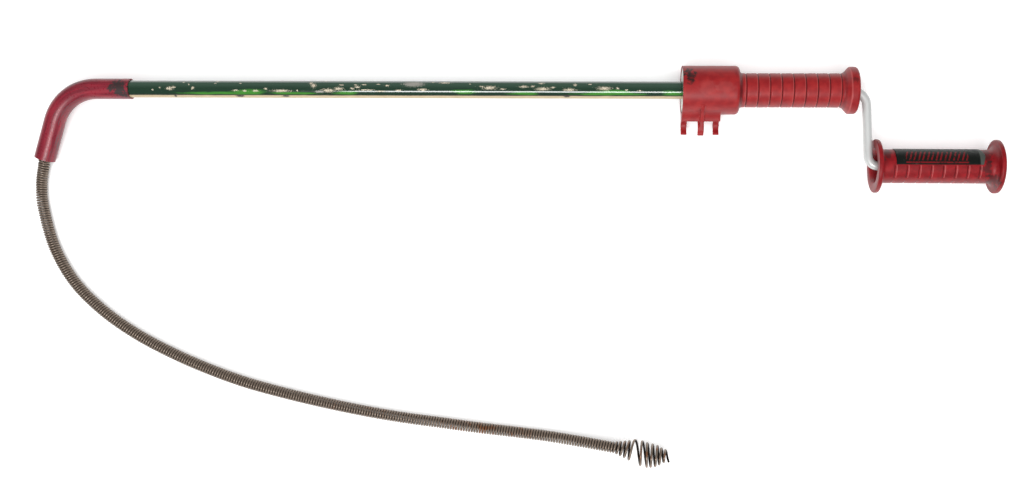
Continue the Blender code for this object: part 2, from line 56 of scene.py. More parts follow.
import bmesh
import bpy
import numpy as np
from mathutils import Matrix, Vector, noise

MM = 0.001

# Where the CAD is
JOINTS = {joint["name"]: joint for joint in frame["joints"]}
HANDLE_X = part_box("handle_body")[0].x
AXIS = Vector(JOINTS["crank_spin"]["pos_m"])
AXIS.x = HANDLE_X
PIN = Vector(JOINTS["grip_spin"]["pos_m"])
PIN.x = HANDLE_X
BULB_START = Vector(JOINTS["bulb_spin"]["pos_m"])
BULB_AXIS = Vector(JOINTS["bulb_spin"]["axis"]).normalized()
ROLL = math.radians(11.113)  # of the guide about its tube, so that the guard's mouth rests on the floor
CRANK_LIFT = math.asin((PIN.z - AXIS.z) / math.hypot(PIN.y - AXIS.y, PIN.z - AXIS.z))

# The same driving sizes as the CAD
TUBE_RADIUS = 9.525 * MM
TUBE_END = 164 * MM
BEND_START = -651.8 * MM
BEND_RADIUS = 54 * MM
BEND_ANGLE = math.radians(70)
LEG_LENGTH = 46 * MM
TUBE_SHORTER = 6 * MM
GUARD_RADIUS = 11.4 * MM
GUARD_BORE = 10 * MM
GUARD_OVERLAP = 39.7 * MM
BARREL_RADIUS = 26.4 * MM
BARREL_LENGTH = 61.8 * MM
BARREL_WALL = 3 * MM
HANDLE_LENGTH = 188.5 * MM
BUSH_SEAT = HANDLE_LENGTH - 8.8 * MM
HANDLE_GRIP_RADIUS = 18.3 * MM
HANDLE_FLANGE_RADIUS = 25.3 * MM
GROOVE_FIRST = 68.7 * MM
GROOVE_PITCH = 12.7 * MM
GROOVE_COUNT = 9
CLIP_WIDTH = 42.1 * MM
CLIP_CENTRE = 40.6 * MM
CLIP_CHANNEL_RADIUS = 7 * MM
ROD_RADIUS = 4.7625 * MM
ARM_BEND = 17 * MM
ROD_BEND = 11.2 * MM
ROD_INNER_END = -629.7 * MM
CRANK_THROW = 82 * MM
ARM_AT = 199.5 * MM
ARM_LEAN = 2.3 * MM
PIN_END = 326 * MM
GRIP_START = 206.9 * MM
GRIP_END = 339.1 * MM
GRIP_RADIUS = 18.2 * MM
GRIP_FLANGE_RADIUS = 28.9 * MM
CAP_RADIUS = 20 * MM
CABLE_RADIUS = 6.5 * MM
WIRE_RADIUS = 1.25 * MM
CABLE_PITCHES = (2.80 * MM, 3.04 * MM)  # at the coupling's end and at the bulb
COUPLING_WEB_AT = -631.3 * MM

# The free cable's route, as in the CAD: x, y, z of its centre in mm
CABLE_ROUTE = [
    (-525.6, -43.6, 9.4), (-528.2, -54.5, 7.6), (-529.4, -68.7, 6.6), (-526.9, -91.5, 6.6),
    (-514.0, -135.0, 6.6), (-490.6, -174.4, 6.6), (-457.7, -206.3, 6.6), (-419.7, -232.2, 6.6),
    (-378.9, -253.2, 6.6), (-336.5, -271.0, 6.6), (-293.2, -285.9, 6.6), (-249.0, -297.4, 6.6),
    (-204.6, -307.3, 6.6), (-160.0, -315.9, 6.6), (-115.3, -322.9, 6.6), (-70.4, -328.2, 6.6),
    (-25.8, -333.4, 6.6), (18.8, -337.9, 6.6), (52.0, -341.5, 7.5), (85.4, -345.9, 10.2),
]

# The bulb's outline, half a turn at a time, after the cable's last turn: distance from the joint, and
# the wire's outer edge on the -Y and the +Y side in turn, both in mm
BULB_TURNS = [
    (-0.9, -6.5), (0.8, 6.5), (2.1, -6.3), (4.5, 7.6), (5.8, -7.3), (8.6, 8.5), (10.0, -8.8), (13.3, 9.7),
    (14.8, -9.9), (18.0, 10.9), (20.2, -11.8), (23.7, 13.1), (33.6, -15.8), (31.9, 13.1), (40.9, -16.4),
    (37.7, 12.0), (45.1, -15.6), (43.7, 11.6), (49.9, -14.0), (49.3, 10.8), (54.1, -11.6), (53.9, 8.8),
    (58.6, -8.2), (58.5, 7.6), (64.0, -6.8),
]


# Frames: a piece is built along X, then turned and moved into place

GUIDE_PLACE = Matrix.Translation(AXIS) @ Matrix.Rotation(ROLL, 4, "X")
CRANK_PLACE = Matrix.Translation(AXIS) @ Matrix.Rotation(-CRANK_LIFT, 4, "X")
GRIP_PLACE = Matrix.Translation(PIN) @ Matrix.Rotation(-CRANK_LIFT, 4, "X")


# Mesh tools


def finish_mesh(name, vertices, faces, straight, place):
    mesh = bpy.data.meshes.new(name)
    mesh.from_pydata([tuple(v) for v in vertices], [], faces)
    attribute = mesh.attributes.new("straight", "FLOAT_VECTOR", "POINT")
    attribute.data.foreach_set("vector", np.asarray(straight, np.float32).ravel())
    shape = bmesh.new()
    shape.from_mesh(mesh)
    bmesh.ops.recalc_face_normals(shape, faces=shape.faces)
    shape.to_mesh(mesh)
    shape.free()
    mesh.transform(place)
    mesh.shade_smooth()
    mesh.set_sharp_from_angle(angle=math.radians(50))
    made = bpy.data.objects.new(name, mesh)
    bpy.context.scene.collection.objects.link(made)
    return made


def grid_faces(rows, columns, closed_rows):
    """Quads of a grid whose columns wrap round, and whose rows may too."""
    faces = []
    for i in range(rows if closed_rows else rows - 1):
        below, above = i * columns, ((i + 1) % rows) * columns
        for j in range(columns):
            k = (j + 1) % columns
            faces.append((below + j, below + k, above + k, above + j))
    return faces


def lathe(name, profile, steps, place, shape=None, closed=True):
    """A profile of (along, radius) turned about X. shape(along, angle, radius) gives a point's radius."""
    angles = [2 * math.pi * j / steps for j in range(steps)]
    vertices = []
    for along, radius in profile:
        for angle in angles:
            r = shape(along, angle, radius) if shape else radius
            vertices.append((along, r * math.sin(angle), r * math.cos(angle)))
    faces = grid_faces(len(profile), steps, closed)
    return finish_mesh(name, vertices, faces, vertices, place)


def frames_along(path):
    """Each point's tangent and an upward side square to it, carried along the path without twist."""
    ends = [path[0] * 2 - path[1], *path, path[-1] * 2 - path[-2]]
    tangents = [(after - before).normalized() for before, after in zip(ends, ends[2:])]
    side = Vector((0, 0, 1)) if abs(tangents[0].z) < 0.9 else Vector((0, 1, 0))
    sides = []
    for tangent in tangents:
        side = (side - tangent * side.dot(tangent)).normalized()
        sides.append(side)
    return tangents, sides


def sweep(name, path, radius, sides, place, bore=0.0, start=0.0):
    """A round rod along a path, or a tube if it has a bore. "straight" counts down from start along the
    path, so a path that leaves a place on the X axis towards -X keeps its own X."""
    path = [Vector(p) for p in path]
    tangents, ups = frames_along(path)
    alongs = [0.0]
    for before, after in zip(path, path[1:]):
        alongs.append(alongs[-1] + (after - before).length)
    rings = [(i, radius) for i in range(len(path))]
    if bore:
        rings += [(i, bore) for i in reversed(range(len(path)))]
    vertices, straight = [], []
    for i, r in rings:
        other = tangents[i].cross(ups[i])
        for j in range(sides):
            angle = 2 * math.pi * j / sides
            across, up = r * math.sin(angle), r * math.cos(angle)
            vertices.append(path[i] - other * across + ups[i] * up)
            straight.append((start - alongs[i], -across, up))
    faces = grid_faces(len(rings), sides, bool(bore))
    if not bore:
        faces.append(tuple(range(sides)))
        faces.append(tuple(range(len(vertices) - sides, len(vertices))))
    return finish_mesh(name, vertices, faces, straight, place)


def bent_path(points, bends, step):
    """Points about step apart along a polyline whose inner corners are rounded, each to its radius."""
    points = [Vector(p) for p in points]
    path = [points[0]]

    def straight_to(end):
        count = max(1, round((end - path[-1]).length / step))
        start = path[-1]
        path.extend(start.lerp(end, i / count) for i in range(1, count + 1))

    for before, corner, after, bend in zip(points, points[1:], points[2:], bends):
        into, out = (corner - before).normalized(), (after - corner).normalized()
        turn = into.angle(out)
        start = corner - into * bend * math.tan(turn / 2)
        straight_to(start)
        across = (out - into * into.dot(out)).normalized()
        count = max(4, round(turn * bend / step))
        for i in range(1, count + 1):
            angle = turn * i / count
            path.append(start + into * bend * math.sin(angle) + across * bend * (1 - math.cos(angle)))
    straight_to(points[-1])
    return path


def guide_path(start, leg, step):
    corner = Vector((BEND_START - BEND_RADIUS * math.tan(BEND_ANGLE / 2), 0, 0))
    direction = Vector((-math.cos(BEND_ANGLE), -math.sin(BEND_ANGLE), 0))
    end = corner + direction * (BEND_RADIUS * math.tan(BEND_ANGLE / 2) + leg)
    return bent_path([(start, 0, 0), corner, end], [BEND_RADIUS], step)


def smooth_route(points, step):
    """Points at even steps along a Catmull-Rom curve through the given points."""
    points = [Vector(p) for p in points]
    padded = [points[0] * 2 - points[1], *points, points[-1] * 2 - points[-2]]
    fine = []
    for a, b, c, d in zip(padded, padded[1:], padded[2:], padded[3:]):
        for i in range(20):
            t = i / 20
            fine.append(
                0.5 * (2 * b + (c - a) * t + (2 * a - 5 * b + 4 * c - d) * t**2
                       + (3 * b - 3 * c + d - a) * t**3)
            )
    fine.append(points[-1])
    return even_steps(fine, step)


def even_steps(points, step):
    length = sum((q - p).length for p, q in zip(points, points[1:]))
    count = max(1, round(length / step))
    even, walked, target = [points[0]], 0.0, length / count
    for p, q in zip(points, points[1:]):
        span = (q - p).length
        while walked + span >= target * len(even) and len(even) < count:
            even.append(p.lerp(q, (target * len(even) - walked) / span))
        walked += span
    return [*even, points[-1]]


def coil(name, centre, pitches, end_phase, place):
    """The cable's wire: a left-hand coil round a centreline, which ends at end_phase from its top.
    Returns the piece and the phase it starts at."""
    per_turn = 16
    centre = even_steps([Vector(p) for p in centre], sum(pitches) / 2 / per_turn)
    tangents, sides = frames_along(centre)
    last = len(centre) - 1
    step = (centre[1] - centre[0]).length
    phases = [0.0]
    for i in range(last):
        pitch = pitches[0] + (pitches[1] - pitches[0]) * i / last
        phases.append(phases[-1] + 2 * math.pi * step / pitch)
    radius = CABLE_RADIUS - WIRE_RADIUS
    points = []
    for point, tangent, side, phase in zip(centre, tangents, sides, phases):
        angle = phase - phases[-1] + end_phase
        other = side.cross(tangent)
        points.append(point + side * radius * math.cos(angle) + other * radius * math.sin(angle))
    wire = sweep(name, points, WIRE_RADIUS, 10, place)
    mark_crests(wire, points, centre, 10, place)
    return wire, end_phase - phases[-1]


def mark_crests(wire, path, centres, sides, place):
    """Writes "crest" on a coil's wire: how far each point faces away from the coil's axis, -1 to 1."""
    crest = wire.data.attributes.new("crest", "FLOAT", "POINT")
    flat = place.inverted()
    for vertex, value in zip(wire.data.vertices, crest.data):
        ring = min(vertex.index // sides, len(path) - 1)
        away = (flat @ vertex.co - centres[ring]).length - (path[ring] - centres[ring]).length
        value.value = away / WIRE_RADIUS


# Material tools


class Graph:
    """A Principled material with short calls for the nodes that all of the finishes use."""

    def __init__(self, name):
        self.material = bpy.data.materials.new(name)
        self.material.use_nodes = True
        self.tree = self.material.node_tree
        self.shader = self.tree.nodes["Principled BSDF"]

    def node(self, kind, inputs=None, **settings):
        made = self.tree.nodes.new(kind)
        for key, value in settings.items():
            setattr(made, key, value)
        for key, value in (inputs or {}).items():
            if isinstance(value, bpy.types.NodeSocket):
                self.tree.links.new(value, made.inputs[key])
            else:
                made.inputs[key].default_value = value
        return made

    def set(self, **inputs):
        for key, value in inputs.items():
            socket = self.shader.inputs[key.replace("_", " ")]
            if isinstance(value, bpy.types.NodeSocket):
                self.tree.links.new(value, socket)
            else:
                socket.default_value = value

    def straight(self):
        return self.node("ShaderNodeAttribute", attribute_name="straight").outputs["Vector"]

    def place(self):
        return self.node("ShaderNodeTexCoord").outputs["Object"]

    def stretched(self, vector, scale):
        made = self.node("ShaderNodeVectorMath", {0: vector, 1: scale}, operation="MULTIPLY")
        return made.outputs[0]

    def noise(self, vector, scale, detail=4.0, roughness=0.55, distortion=0.0):
        inputs = {"Vector": vector, "Scale": scale, "Detail": detail, "Roughness": roughness}
        inputs["Distortion"] = distortion
        return self.node("ShaderNodeTexNoise", inputs).outputs["Fac"]

    def maths(self, operation, a, b=0.0, clamp=False):
        return self.node("ShaderNodeMath", {0: a, 1: b}, operation=operation, use_clamp=clamp).outputs[0]

    def repeated(self, value, start, pitch):
        """The distance to the nearest of the places start + n * pitch, negative before it."""
        inputs = {0: self.scaled(value, 1.0, -start), 1: pitch / 2, 2: -pitch / 2}
        return self.node("ShaderNodeMath", inputs, operation="WRAP").outputs[0]

    def window(self, value, start, end, edge):
        """1 between start and end, falling to 0 within edge outside them."""
        return self.both(self.band(value, start - edge, start), self.band(value, end + edge, end))

    def band(self, value, low, high):
        """0 below low, 1 above high, smooth between. low above high turns it round."""
        made = self.node(
            "ShaderNodeMapRange", {"Value": value, "From Min": low, "From Max": high},
            interpolation_type="SMOOTHSTEP",
        )
        return made.outputs["Result"]

    def mix(self, factor, a, b):
        made = self.node("ShaderNodeMix", data_type="RGBA")
        for index, value in ((0, factor), (6, a), (7, b)):
            if isinstance(value, bpy.types.NodeSocket):
                self.tree.links.new(value, made.inputs[index])
            else:
                made.inputs[index].default_value = value if index == 0 else (*value, 1)
        return made.outputs[2]

    def blend(self, factor, a, b):
        """The number between a and b."""
        return self.node("ShaderNodeMix", {0: factor, 2: a, 3: b}, data_type="FLOAT").outputs[0]

    def scaled(self, value, factor, offset=0.0, add=None):
        """value * factor + offset, and add as well if it is given."""
        inputs = {0: value, 1: factor, 2: offset}
        made = self.node("ShaderNodeMath", inputs, operation="MULTIPLY_ADD").outputs[0]
        return made if add is None else self.maths("ADD", made, add)

    def sum(self, *values):
        total = values[0]
        for value in values[1:]:
            total = self.maths("ADD", total, value)
        return total

    def combine(self, x, y):
        return self.node("ShaderNodeCombineXYZ", {0: x, 1: y}).outputs[0]

    def marks(self, skin, marks):
        """Soft spots on an unrolled skin: 1 at a mark's centre, 0 at its edge, negative outside."""
        field = None
        for along, degrees, half_length, half_width in marks:
            radius = GUARD_RADIUS if along < -600 else TUBE_RADIUS
            centre = (along * MM, math.radians(degrees) * radius, 0)
            away = self.node("ShaderNodeVectorMath", {0: skin, 1: centre}, operation="SUBTRACT").outputs[0]
            away = self.stretched(away, (1 / (half_length * MM), 1 / (half_width * MM), 0))
            length = self.node("ShaderNodeVectorMath", {0: away}, operation="LENGTH").outputs["Value"]
            spot = self.scaled(length, -1.0, 1.0)
            field = spot if field is None else self.maths("MAXIMUM", field, spot)
        return self.maths("MAXIMUM", field, -1.0)

    def both(self, a, b):
        return self.maths("MULTIPLY", a, b)

    def either(self, a, b):
        return self.maths("MAXIMUM", a, b)

    def split(self, vector):
        made = self.node("ShaderNodeSeparateXYZ", {0: vector})
        return made.outputs[0], made.outputs[1], made.outputs[2]

    def blob(self, vector, centre, size, ragged, grain):
        """1 inside a ragged ellipsoid about centre, 0 outside it."""
        away = self.node("ShaderNodeVectorMath", {0: vector, 1: centre}, operation="SUBTRACT").outputs[0]
        scaled = self.stretched(away, [1 / s for s in size])
        distance = self.node("ShaderNodeVectorMath", {0: scaled}, operation="LENGTH").outputs["Value"]
        rough = self.scaled(self.noise(vector, grain, 5, 0.65), ragged, -ragged / 2)
        return self.band(self.maths("ADD", distance, rough), 1.05, 0.55)

    def bump(self, height, strength, distance):
        made = self.node("ShaderNodeBump", {"Height": height, "Strength": strength, "Distance": distance})
        self.tree.links.new(made.outputs[0], self.shader.inputs["Normal"])


def linear(red, green, blue):
    """An sRGB colour from 0 to 255 as the linear values that shaders take."""
    shares = (red / 255, green / 255, blue / 255)
    return tuple(c / 12.92 if c < 0.04 else ((c + 0.055) / 1.055) ** 2.4 for c in shares)


def angle_from_top(graph, vector, roll=0.0):
    """Degrees round the piece from its top towards its -Y side, negative towards +Y. roll is how far
    the piece itself is turned that way."""
    _, across, up = graph.split(vector)
    turn = graph.maths("ARCTAN2", graph.maths("MULTIPLY", across, -1.0), up)
    return graph.scaled(turn, 180 / math.pi, math.degrees(roll))


# Finishes


# Marks on the tube: distance along it from the handle and degrees from its top towards -Y, then half of
# the length along it and half of the width round it. All lengths in mm
CHIPS = [
    (-565, 4, 5, 2.4), (-561, -4, 3, 1.6), (-576, 0, 1.5, 1), (-584, 14, 1.6, 1), (-544, -24, 1.3, 1),
    (-539, 1, 2.6, 2), (-514, -33, 1.6, 1), (-491, 16, 4.5, 1.2), (-481, 20, 4, 1.4), (-469, 20, 4.5, 1.6),
    (-457, 6, 3, 1.4), (-440, 19, 14, 1.9), (-422, 17, 1.7, 1.3), (-404, -18, 4, 3.4), (-388, 16, 10, 2.6),
    (-376, 4, 7, 2.4), (-361, 2, 3, 1.5), (-355, -8, 4, 1.6), (-283, 10, 7, 1.8), (-259, -42, 9, 1.8),
    (-231, -30, 1.3, 1), (-218, -12, 3, 1.4), (-209, -4, 10, 2.6), (-172, -12, 6, 1.8),
    (-162, -15, 2.5, 1.3),
    (-151, 3, 10, 2.3), (-153, -38, 4, 1.6), (-122, 8, 9, 2), (-116, -25, 2.5, 2), (-84, -2, 10, 2.6),
    (-70, -2, 2.5, 1.3), (-60, 8, 2, 1.3), (-550, -41, 2, 1.2), (-512, -50, 2, 1.2), (-486, -33, 1.6, 1),
    (-407, -37, 3, 1.8), (-391, -60, 2, 1.4), (-373, -22, 3.4, 1.2), (-357, -22, 3, 1.2), (-348, -24, 4, 1),
    (-332, -28, 3, 1), (-322, -18, 3, 1.6), (-345, 12, 12, 1), (-330, 20, 8, 1), (-310, 14, 5, 1.2),
    (-272, -48, 3, 1), (-195, 4, 5, 1), (-140, -8, 3, 1.2), (-100, -30, 3, 1.2), (-46, 12, 3, 1),
]
BARE_STEEL = [(-293, -32, 15, 4.6), (-397, 24, 7, 1.7)]
# Painted reflections: bright green glints on the tube's -Y flank.
PAINTED_GLINTS = [
    (-515, 36, 46, 2.2), (-477, 30, 25, 4.2), (-430, 36, 34, 2.0), (-370, 33, 16, 3.0), (-236, 22, 18, 3.4),
    (-173, 34, 18, 2.6), (-80, 34, 44, 2.8), (-71, 24, 22, 3.6), (-10, 32, 16, 3.6),
]
DARK_DRIPS = [(-560, 60, 2.4, 3.2), (-487, 60, 6.5, 2.8), (-436, 60, 5.5, 2.4), (-125, 54, 4.6, 3)]


def green_enamel():
    """Dark green enamel over tan primer, chipped to primer and to steel. Painted reflections: paler towards
    +Y, bright green glints, and a tan strip along the side it lies on where the floor is reflected, with a
    painted shadow line just above it.
    """
    g = Graph("green_enamel")
    straight = g.straight()
    angle = angle_from_top(g, straight, ROLL)
    along, _, _ = g.split(straight)
    skin = g.combine(along, g.scaled(angle, math.radians(TUBE_RADIUS)))
    long_grain = g.stretched(skin, (0.2, 1, 1))

    green = g.mix(g.noise(long_grain, 90, 3), linear(10, 38, 23), linear(22, 52, 36))
    # Painted reflection: the green turns paler and greyer towards the tube's +Y side.
    green = g.mix(g.band(angle, 8, -34), green, linear(50, 74, 60))
    # Painted reflections: bright green glints on the -Y flank, from noise and from the listed marks.
    painted_glint = g.band(g.scaled(g.noise(long_grain, 260, 4), 1.6, -0.8, g.marks(skin, PAINTED_GLINTS)), -0.1, 0.7)
    green = g.mix(painted_glint, green, linear(56, 122, 40))

    # Painted reflection of the floor: a tan strip along the tube's low -Y side past a set angle, with a
    # painted shadow line just above it.
    past = g.scaled(g.noise(long_grain, 260, 4), 6.0, -54.5, angle)
    rubbed_and_floor_reflection = g.both(g.band(past, -1.5, 1.5), g.band(angle, 150, 135))
    tan = g.mix(g.noise(long_grain, 500, 4), linear(158, 138, 104), linear(202, 184, 150))
    shadow_line = g.both(g.band(past, -7, -2), g.band(past, 4, 0))

    ragged = g.noise(g.stretched(skin, (0.8, 1, 1)), 1050, 6, 0.75)
    marks = g.scaled(ragged, 6.0, -3.1, g.marks(skin, CHIPS))
    dust = g.noise(g.stretched(skin, (0.6, 1, 1)), 560, 6, 0.72)
    chips = g.either(g.band(marks, 0.38, 0.50), g.both(g.band(dust, 0.69, 0.705), g.band(angle, 45, 30)))
    primer = g.mix(g.noise(skin, 1600, 3), linear(176, 152, 118), linear(238, 230, 212))
    bare = g.band(g.scaled(ragged, 3.5, -1.75, g.marks(skin, BARE_STEEL)), 0.2, 0.4)
    drips = g.band(g.scaled(ragged, 3.0, -1.5, g.marks(skin, DARK_DRIPS)), 0.2, 0.45)

    # Painted reflection of the floor, then the painted shadow line above it.
    colour = g.mix(rubbed_and_floor_reflection, green, tan)
    colour = g.mix(g.both(shadow_line, 0.85), colour, linear(44, 36, 26))
    colour = g.mix(chips, colour, primer)
    steel = g.mix(g.noise(long_grain, 600, 3), linear(112, 112, 104), linear(164, 160, 152))
    colour = g.mix(bare, colour, steel)
    colour = g.mix(drips, colour, linear(44, 36, 27))
    # Chips and bare steel are wear; the tan strip in this mask is the painted floor reflection, made rough
    # and uncoated with them.
    wear_and_painted_light = g.either(g.either(rubbed_and_floor_reflection, chips), bare)
    g.set(Base_Color=colour, Roughness=g.blend(wear_and_painted_light, 0.14, 0.42), Coat_Weight=g.blend(wear_and_painted_light, 0.8, 0.0))
    g.set(Coat_Roughness=0.05)
    g.bump(g.sum(g.scaled(wear_and_painted_light, -1.0), g.scaled(g.noise(skin, 900, 3), 0.2)), 0.5, 0.00012)
    return g.material


def moulded_red(name, pale, deep, dirty):
    """Satin moulded plastic, mottled and finely soiled. Returns the graph, its colour and its place."""
    g = Graph(name)
    place = g.place()
    mottled = g.noise(place, 130, 5, 0.6)
    colour = g.mix(g.band(mottled, 0.35, 0.7), linear(*deep), linear(*pale))
    grime = g.band(g.noise(place, 42, 6, 0.65), 0.58, 0.76)
    colour = g.mix(g.both(grime, 0.35), colour, linear(*dirty))
    specks = g.band(g.noise(place, 1500, 2), 0.66, 0.74)
    colour = g.mix(g.both(specks, 0.35), colour, linear(*dirty))
    g.set(Roughness=g.blend(mottled, 0.36, 0.5), Specular_IOR_Level=0.4)
    g.bump(g.sum(g.noise(place, 2600, 3), g.scaled(g.noise(place, 500, 3), 0.7)), 0.3, 0.00006)
    return g, colour, place


def handle_red():
    """Faded red of the handle, with an oily smudge at the barrel's end, painted highlights on the barrel's
    top, the grip's lips and the flange's rim, and painted shade in the grip's rings, at the barrel's foot
    and at the flange's neck.
    """
    g, colour, place = moulded_red("handle_red", (148, 32, 33), (130, 23, 27), (84, 28, 31))
    straight = g.straight()
    along, _, _ = g.split(straight)
    for x, y, size, strength in ((5, 17, 6, 0.9), (9, 11, 5.5, 0.85), (8, 6, 4, 0.6), (183, 8, 3.5, 0.5)):
        at = AXIS + Vector((x, y, 22)) * MM
        dark_blot = g.blob(place, at, (size * MM, size * MM, 20 * MM), 5.0, 300)
        colour = g.mix(g.both(dark_blot, strength), colour, linear(34, 22, 22))
    # Painted highlights: paler patches on the barrel's top.
    for x in (26, 44):
        at = AXIS + Vector((x, 0, 26)) * MM
        painted_highlight = g.blob(place, at, (12 * MM, 8 * MM, 24 * MM), 1.6, 150)
        colour = g.mix(g.both(painted_highlight, 0.18), colour, linear(166, 84, 82))
    last_groove = GROOVE_FIRST + GROOVE_PITCH * (GROOVE_COUNT - 1)
    in_grip = g.both(g.band(along, GROOVE_FIRST - 4 * MM, GROOVE_FIRST - 3.6 * MM),
                     g.band(along, last_groove + GROOVE_PITCH * 0.4, last_groove + GROOVE_PITCH * 0.2))
    # Painted shade in the grip's rings, and a painted highlight on the lip beside each.
    cycle = g.repeated(along, GROOVE_FIRST, GROOVE_PITCH)
    ring = g.both(in_grip, g.band(g.maths("ABSOLUTE", cycle), 0.75 * MM, 0.35 * MM))
    lip = g.both(in_grip, g.both(g.band(cycle, -1.9 * MM, -1.3 * MM), g.band(cycle, -0.6 * MM, -0.9 * MM)))
    colour = g.mix(g.both(ring, 0.75), colour, linear(58, 22, 26))
    colour = g.mix(g.both(lip, 0.30), colour, linear(196, 104, 100))
    # Painted shade in the crease where the barrel's shoulder meets the grip.
    foot = g.both(g.band(along, BARREL_LENGTH - 2 * MM, BARREL_LENGTH - 0.4 * MM),
                  g.band(along, BARREL_LENGTH + 3.6 * MM, BARREL_LENGTH + 2.0 * MM))
    colour = g.mix(g.both(foot, 0.6), colour, linear(70, 24, 28))
    # Painted highlight along the flange's rim.
    rim_edge = HANDLE_LENGTH - 9.3 * MM
    edge = g.both(g.band(along, rim_edge - 0.9 * MM, rim_edge - 0.3 * MM),
                  g.band(along, rim_edge + 1.0 * MM, rim_edge + 0.3 * MM))
    colour = g.mix(g.both(edge, 0.4), colour, linear(190, 92, 90))
    neck = HANDLE_LENGTH - 14.8 * MM
    shade = g.both(g.band(along, neck - 2.2 * MM, neck - 0.8 * MM),
                   g.band(along, neck + 2.4 * MM, neck + 0.8 * MM))
    colour = g.mix(g.both(shade, 0.35), colour, linear(64, 20, 25))
    g.set(Base_Color=colour)
    return g.material


def grip_red():
    """Deeper red of the crank grip, darker near both flanges, with painted shade along one wall of each
    slot and a painted highlight along the other.
    """
    g, colour, place = moulded_red("grip_red", (138, 15, 23), (114, 9, 17), (60, 14, 18))
    straight = g.straight()
    along, _, _ = g.split(straight)
    turned = angle_from_top(g, straight)
    # Darker blots near both flanges.
    for x, y, size in ((217, 12, 6), (322, 12, 8), (322, -4, 7), (330, -16, 6)):
        at = PIN + Vector((x, y, 14)) * MM
        dark_blot = g.blob(place, at, (size * MM, size * 1.3 * MM, 20 * MM), 4.0, 220)
        colour = g.mix(g.both(dark_blot, 0.65), colour, linear(42, 17, 19))
    cycle = g.repeated(along, SLOT_FIRST, SLOT_PITCH)
    last_slot = SLOT_FIRST + SLOT_PITCH * (SLOT_COUNT - 1)
    span = g.window(along, SLOT_FIRST - 2.8 * MM, last_slot + 2.8 * MM, 0.2 * MM)
    # Painted shade along one wall of each slot, and a painted highlight along the other.
    left = g.window(cycle, -1.3 * MM, -0.9 * MM, 0.4 * MM)
    right = g.both(g.band(cycle, 0.6 * MM, 0.9 * MM), g.band(cycle, 1.7 * MM, 1.3 * MM))
    for low, high in SLOT_ROWS:
        row = g.both(span, g.window(turned, low + 3, high - 3, 3))
        colour = g.mix(g.both(g.both(row, left), 0.8), colour, linear(46, 8, 13))
        colour = g.mix(g.both(g.both(row, right), 0.4), colour, linear(196, 100, 98))
    g.set(Base_Color=colour)
    return g.material


def guard_vinyl():
    """Crimson vinyl with grey rub marks, long dirt streaks and a black scuff near its open end."""
    g = Graph("guard_vinyl")
    straight = g.straight()
    angle = angle_from_top(g, straight, ROLL)
    along, _, _ = g.split(straight)
    skin = g.combine(along, g.scaled(angle, math.radians(GUARD_RADIUS)))
    streaky = g.noise(g.stretched(skin, (0.12, 1, 1)), 240, 5, 0.6)
    colour = g.mix(g.band(streaky, 0.3, 0.7), linear(104, 24, 38), linear(140, 36, 50))
    dirt = g.band(g.noise(g.stretched(skin, (0.08, 1, 1)), 330, 6, 0.7), 0.53, 0.66)
    colour = g.mix(g.both(dirt, 0.6), colour, linear(70, 36, 42))
    leg = g.band(along, BEND_START + 15 * MM, BEND_START - 25 * MM)
    flanks = g.either(g.band(angle, 22, 58), g.band(angle, -22, -52))
    lines = g.band(g.noise(g.stretched(skin, (0.07, 1, 1)), 420, 6, 0.72), 0.50, 0.60)
    rubbed_and_floor_reflection = g.both(g.both(flanks, lines), leg)
    colour = g.mix(g.both(rubbed_and_floor_reflection, 0.75), colour, linear(84, 74, 76))
    ragged = g.noise(skin, 380, 6, 0.72)
    scuff = g.marks(skin, [(-622.5, -12, 10, 9), (-621, 14, 8.5, 9), (-617, 42, 6, 4.5), (-631, 0, 4, 6)])
    scuff = g.band(g.scaled(ragged, 4.0, -2.0, scuff), 0.14, 0.3)
    colour = g.mix(g.both(scuff, 0.95), colour, linear(42, 38, 38))
    nicks = g.band(g.noise(g.stretched(skin, (0.5, 1, 1)), 700, 4, 0.7), 0.69, 0.72)
    colour = g.mix(g.both(nicks, 0.7), colour, linear(190, 138, 146))
    dull = g.either(scuff, rubbed_and_floor_reflection)
    gloss = g.scaled(g.noise(skin, 500, 4), 0.5, 0.08)
    g.set(Base_Color=colour, Roughness=g.blend(dull, gloss, 0.55))
    g.bump(g.sum(g.noise(skin, 1400, 4), g.scaled(streaky, 1.5)), 0.35, 0.00008)
    return g.material


def bright_zinc():
    """Satin zinc plate, pale grey, with faint drawing lines and a few dull marks."""
    g = Graph("bright_zinc")
    straight = g.straight()
    lines = g.noise(g.stretched(straight, (0.02, 1, 1)), 1500, 3)
    cloud = g.noise(straight, 80, 4)
    colour = g.mix(cloud, linear(188, 191, 190), linear(206, 208, 207))
    marks = g.band(g.noise(g.stretched(straight, (0.5, 1, 1)), 420, 5, 0.7), 0.64, 0.72)
    colour = g.mix(g.both(marks, 0.5), colour, linear(112, 122, 100))
    g.set(Base_Color=colour, Metallic=0.25, Roughness=g.blend(lines, 0.30, 0.44))
    g.bump(lines, 0.25, 0.00003)
    return g.material


def plate_steel():
    g = Graph("plate_steel")
    place = g.place()
    blotch = g.noise(place, 160, 5, 0.6)
    colour = g.mix(blotch, linear(160, 168, 160), linear(206, 210, 204))
    stain = g.band(g.noise(place, 90, 5, 0.7), 0.56, 0.72)
    colour = g.mix(g.both(stain, 0.6), colour, linear(120, 128, 104))
    g.set(Base_Color=colour, Metallic=0.85, Roughness=g.blend(blotch, 0.22, 0.42))
    g.bump(g.noise(place, 900, 3), 0.3, 0.00005)
    return g.material


def turned_steel():
    g = Graph("turned_steel")
    place = g.place()
    rings = g.noise(g.stretched(place, (1, 0.03, 0.03)), 2600, 2)
    colour = g.mix(g.noise(place, 200, 4), linear(140, 138, 134), linear(176, 174, 170))
    g.set(Base_Color=colour, Metallic=1.0, Roughness=g.blend(rings, 0.28, 0.45))
    g.bump(rings, 0.3, 0.00004)
    return g.material


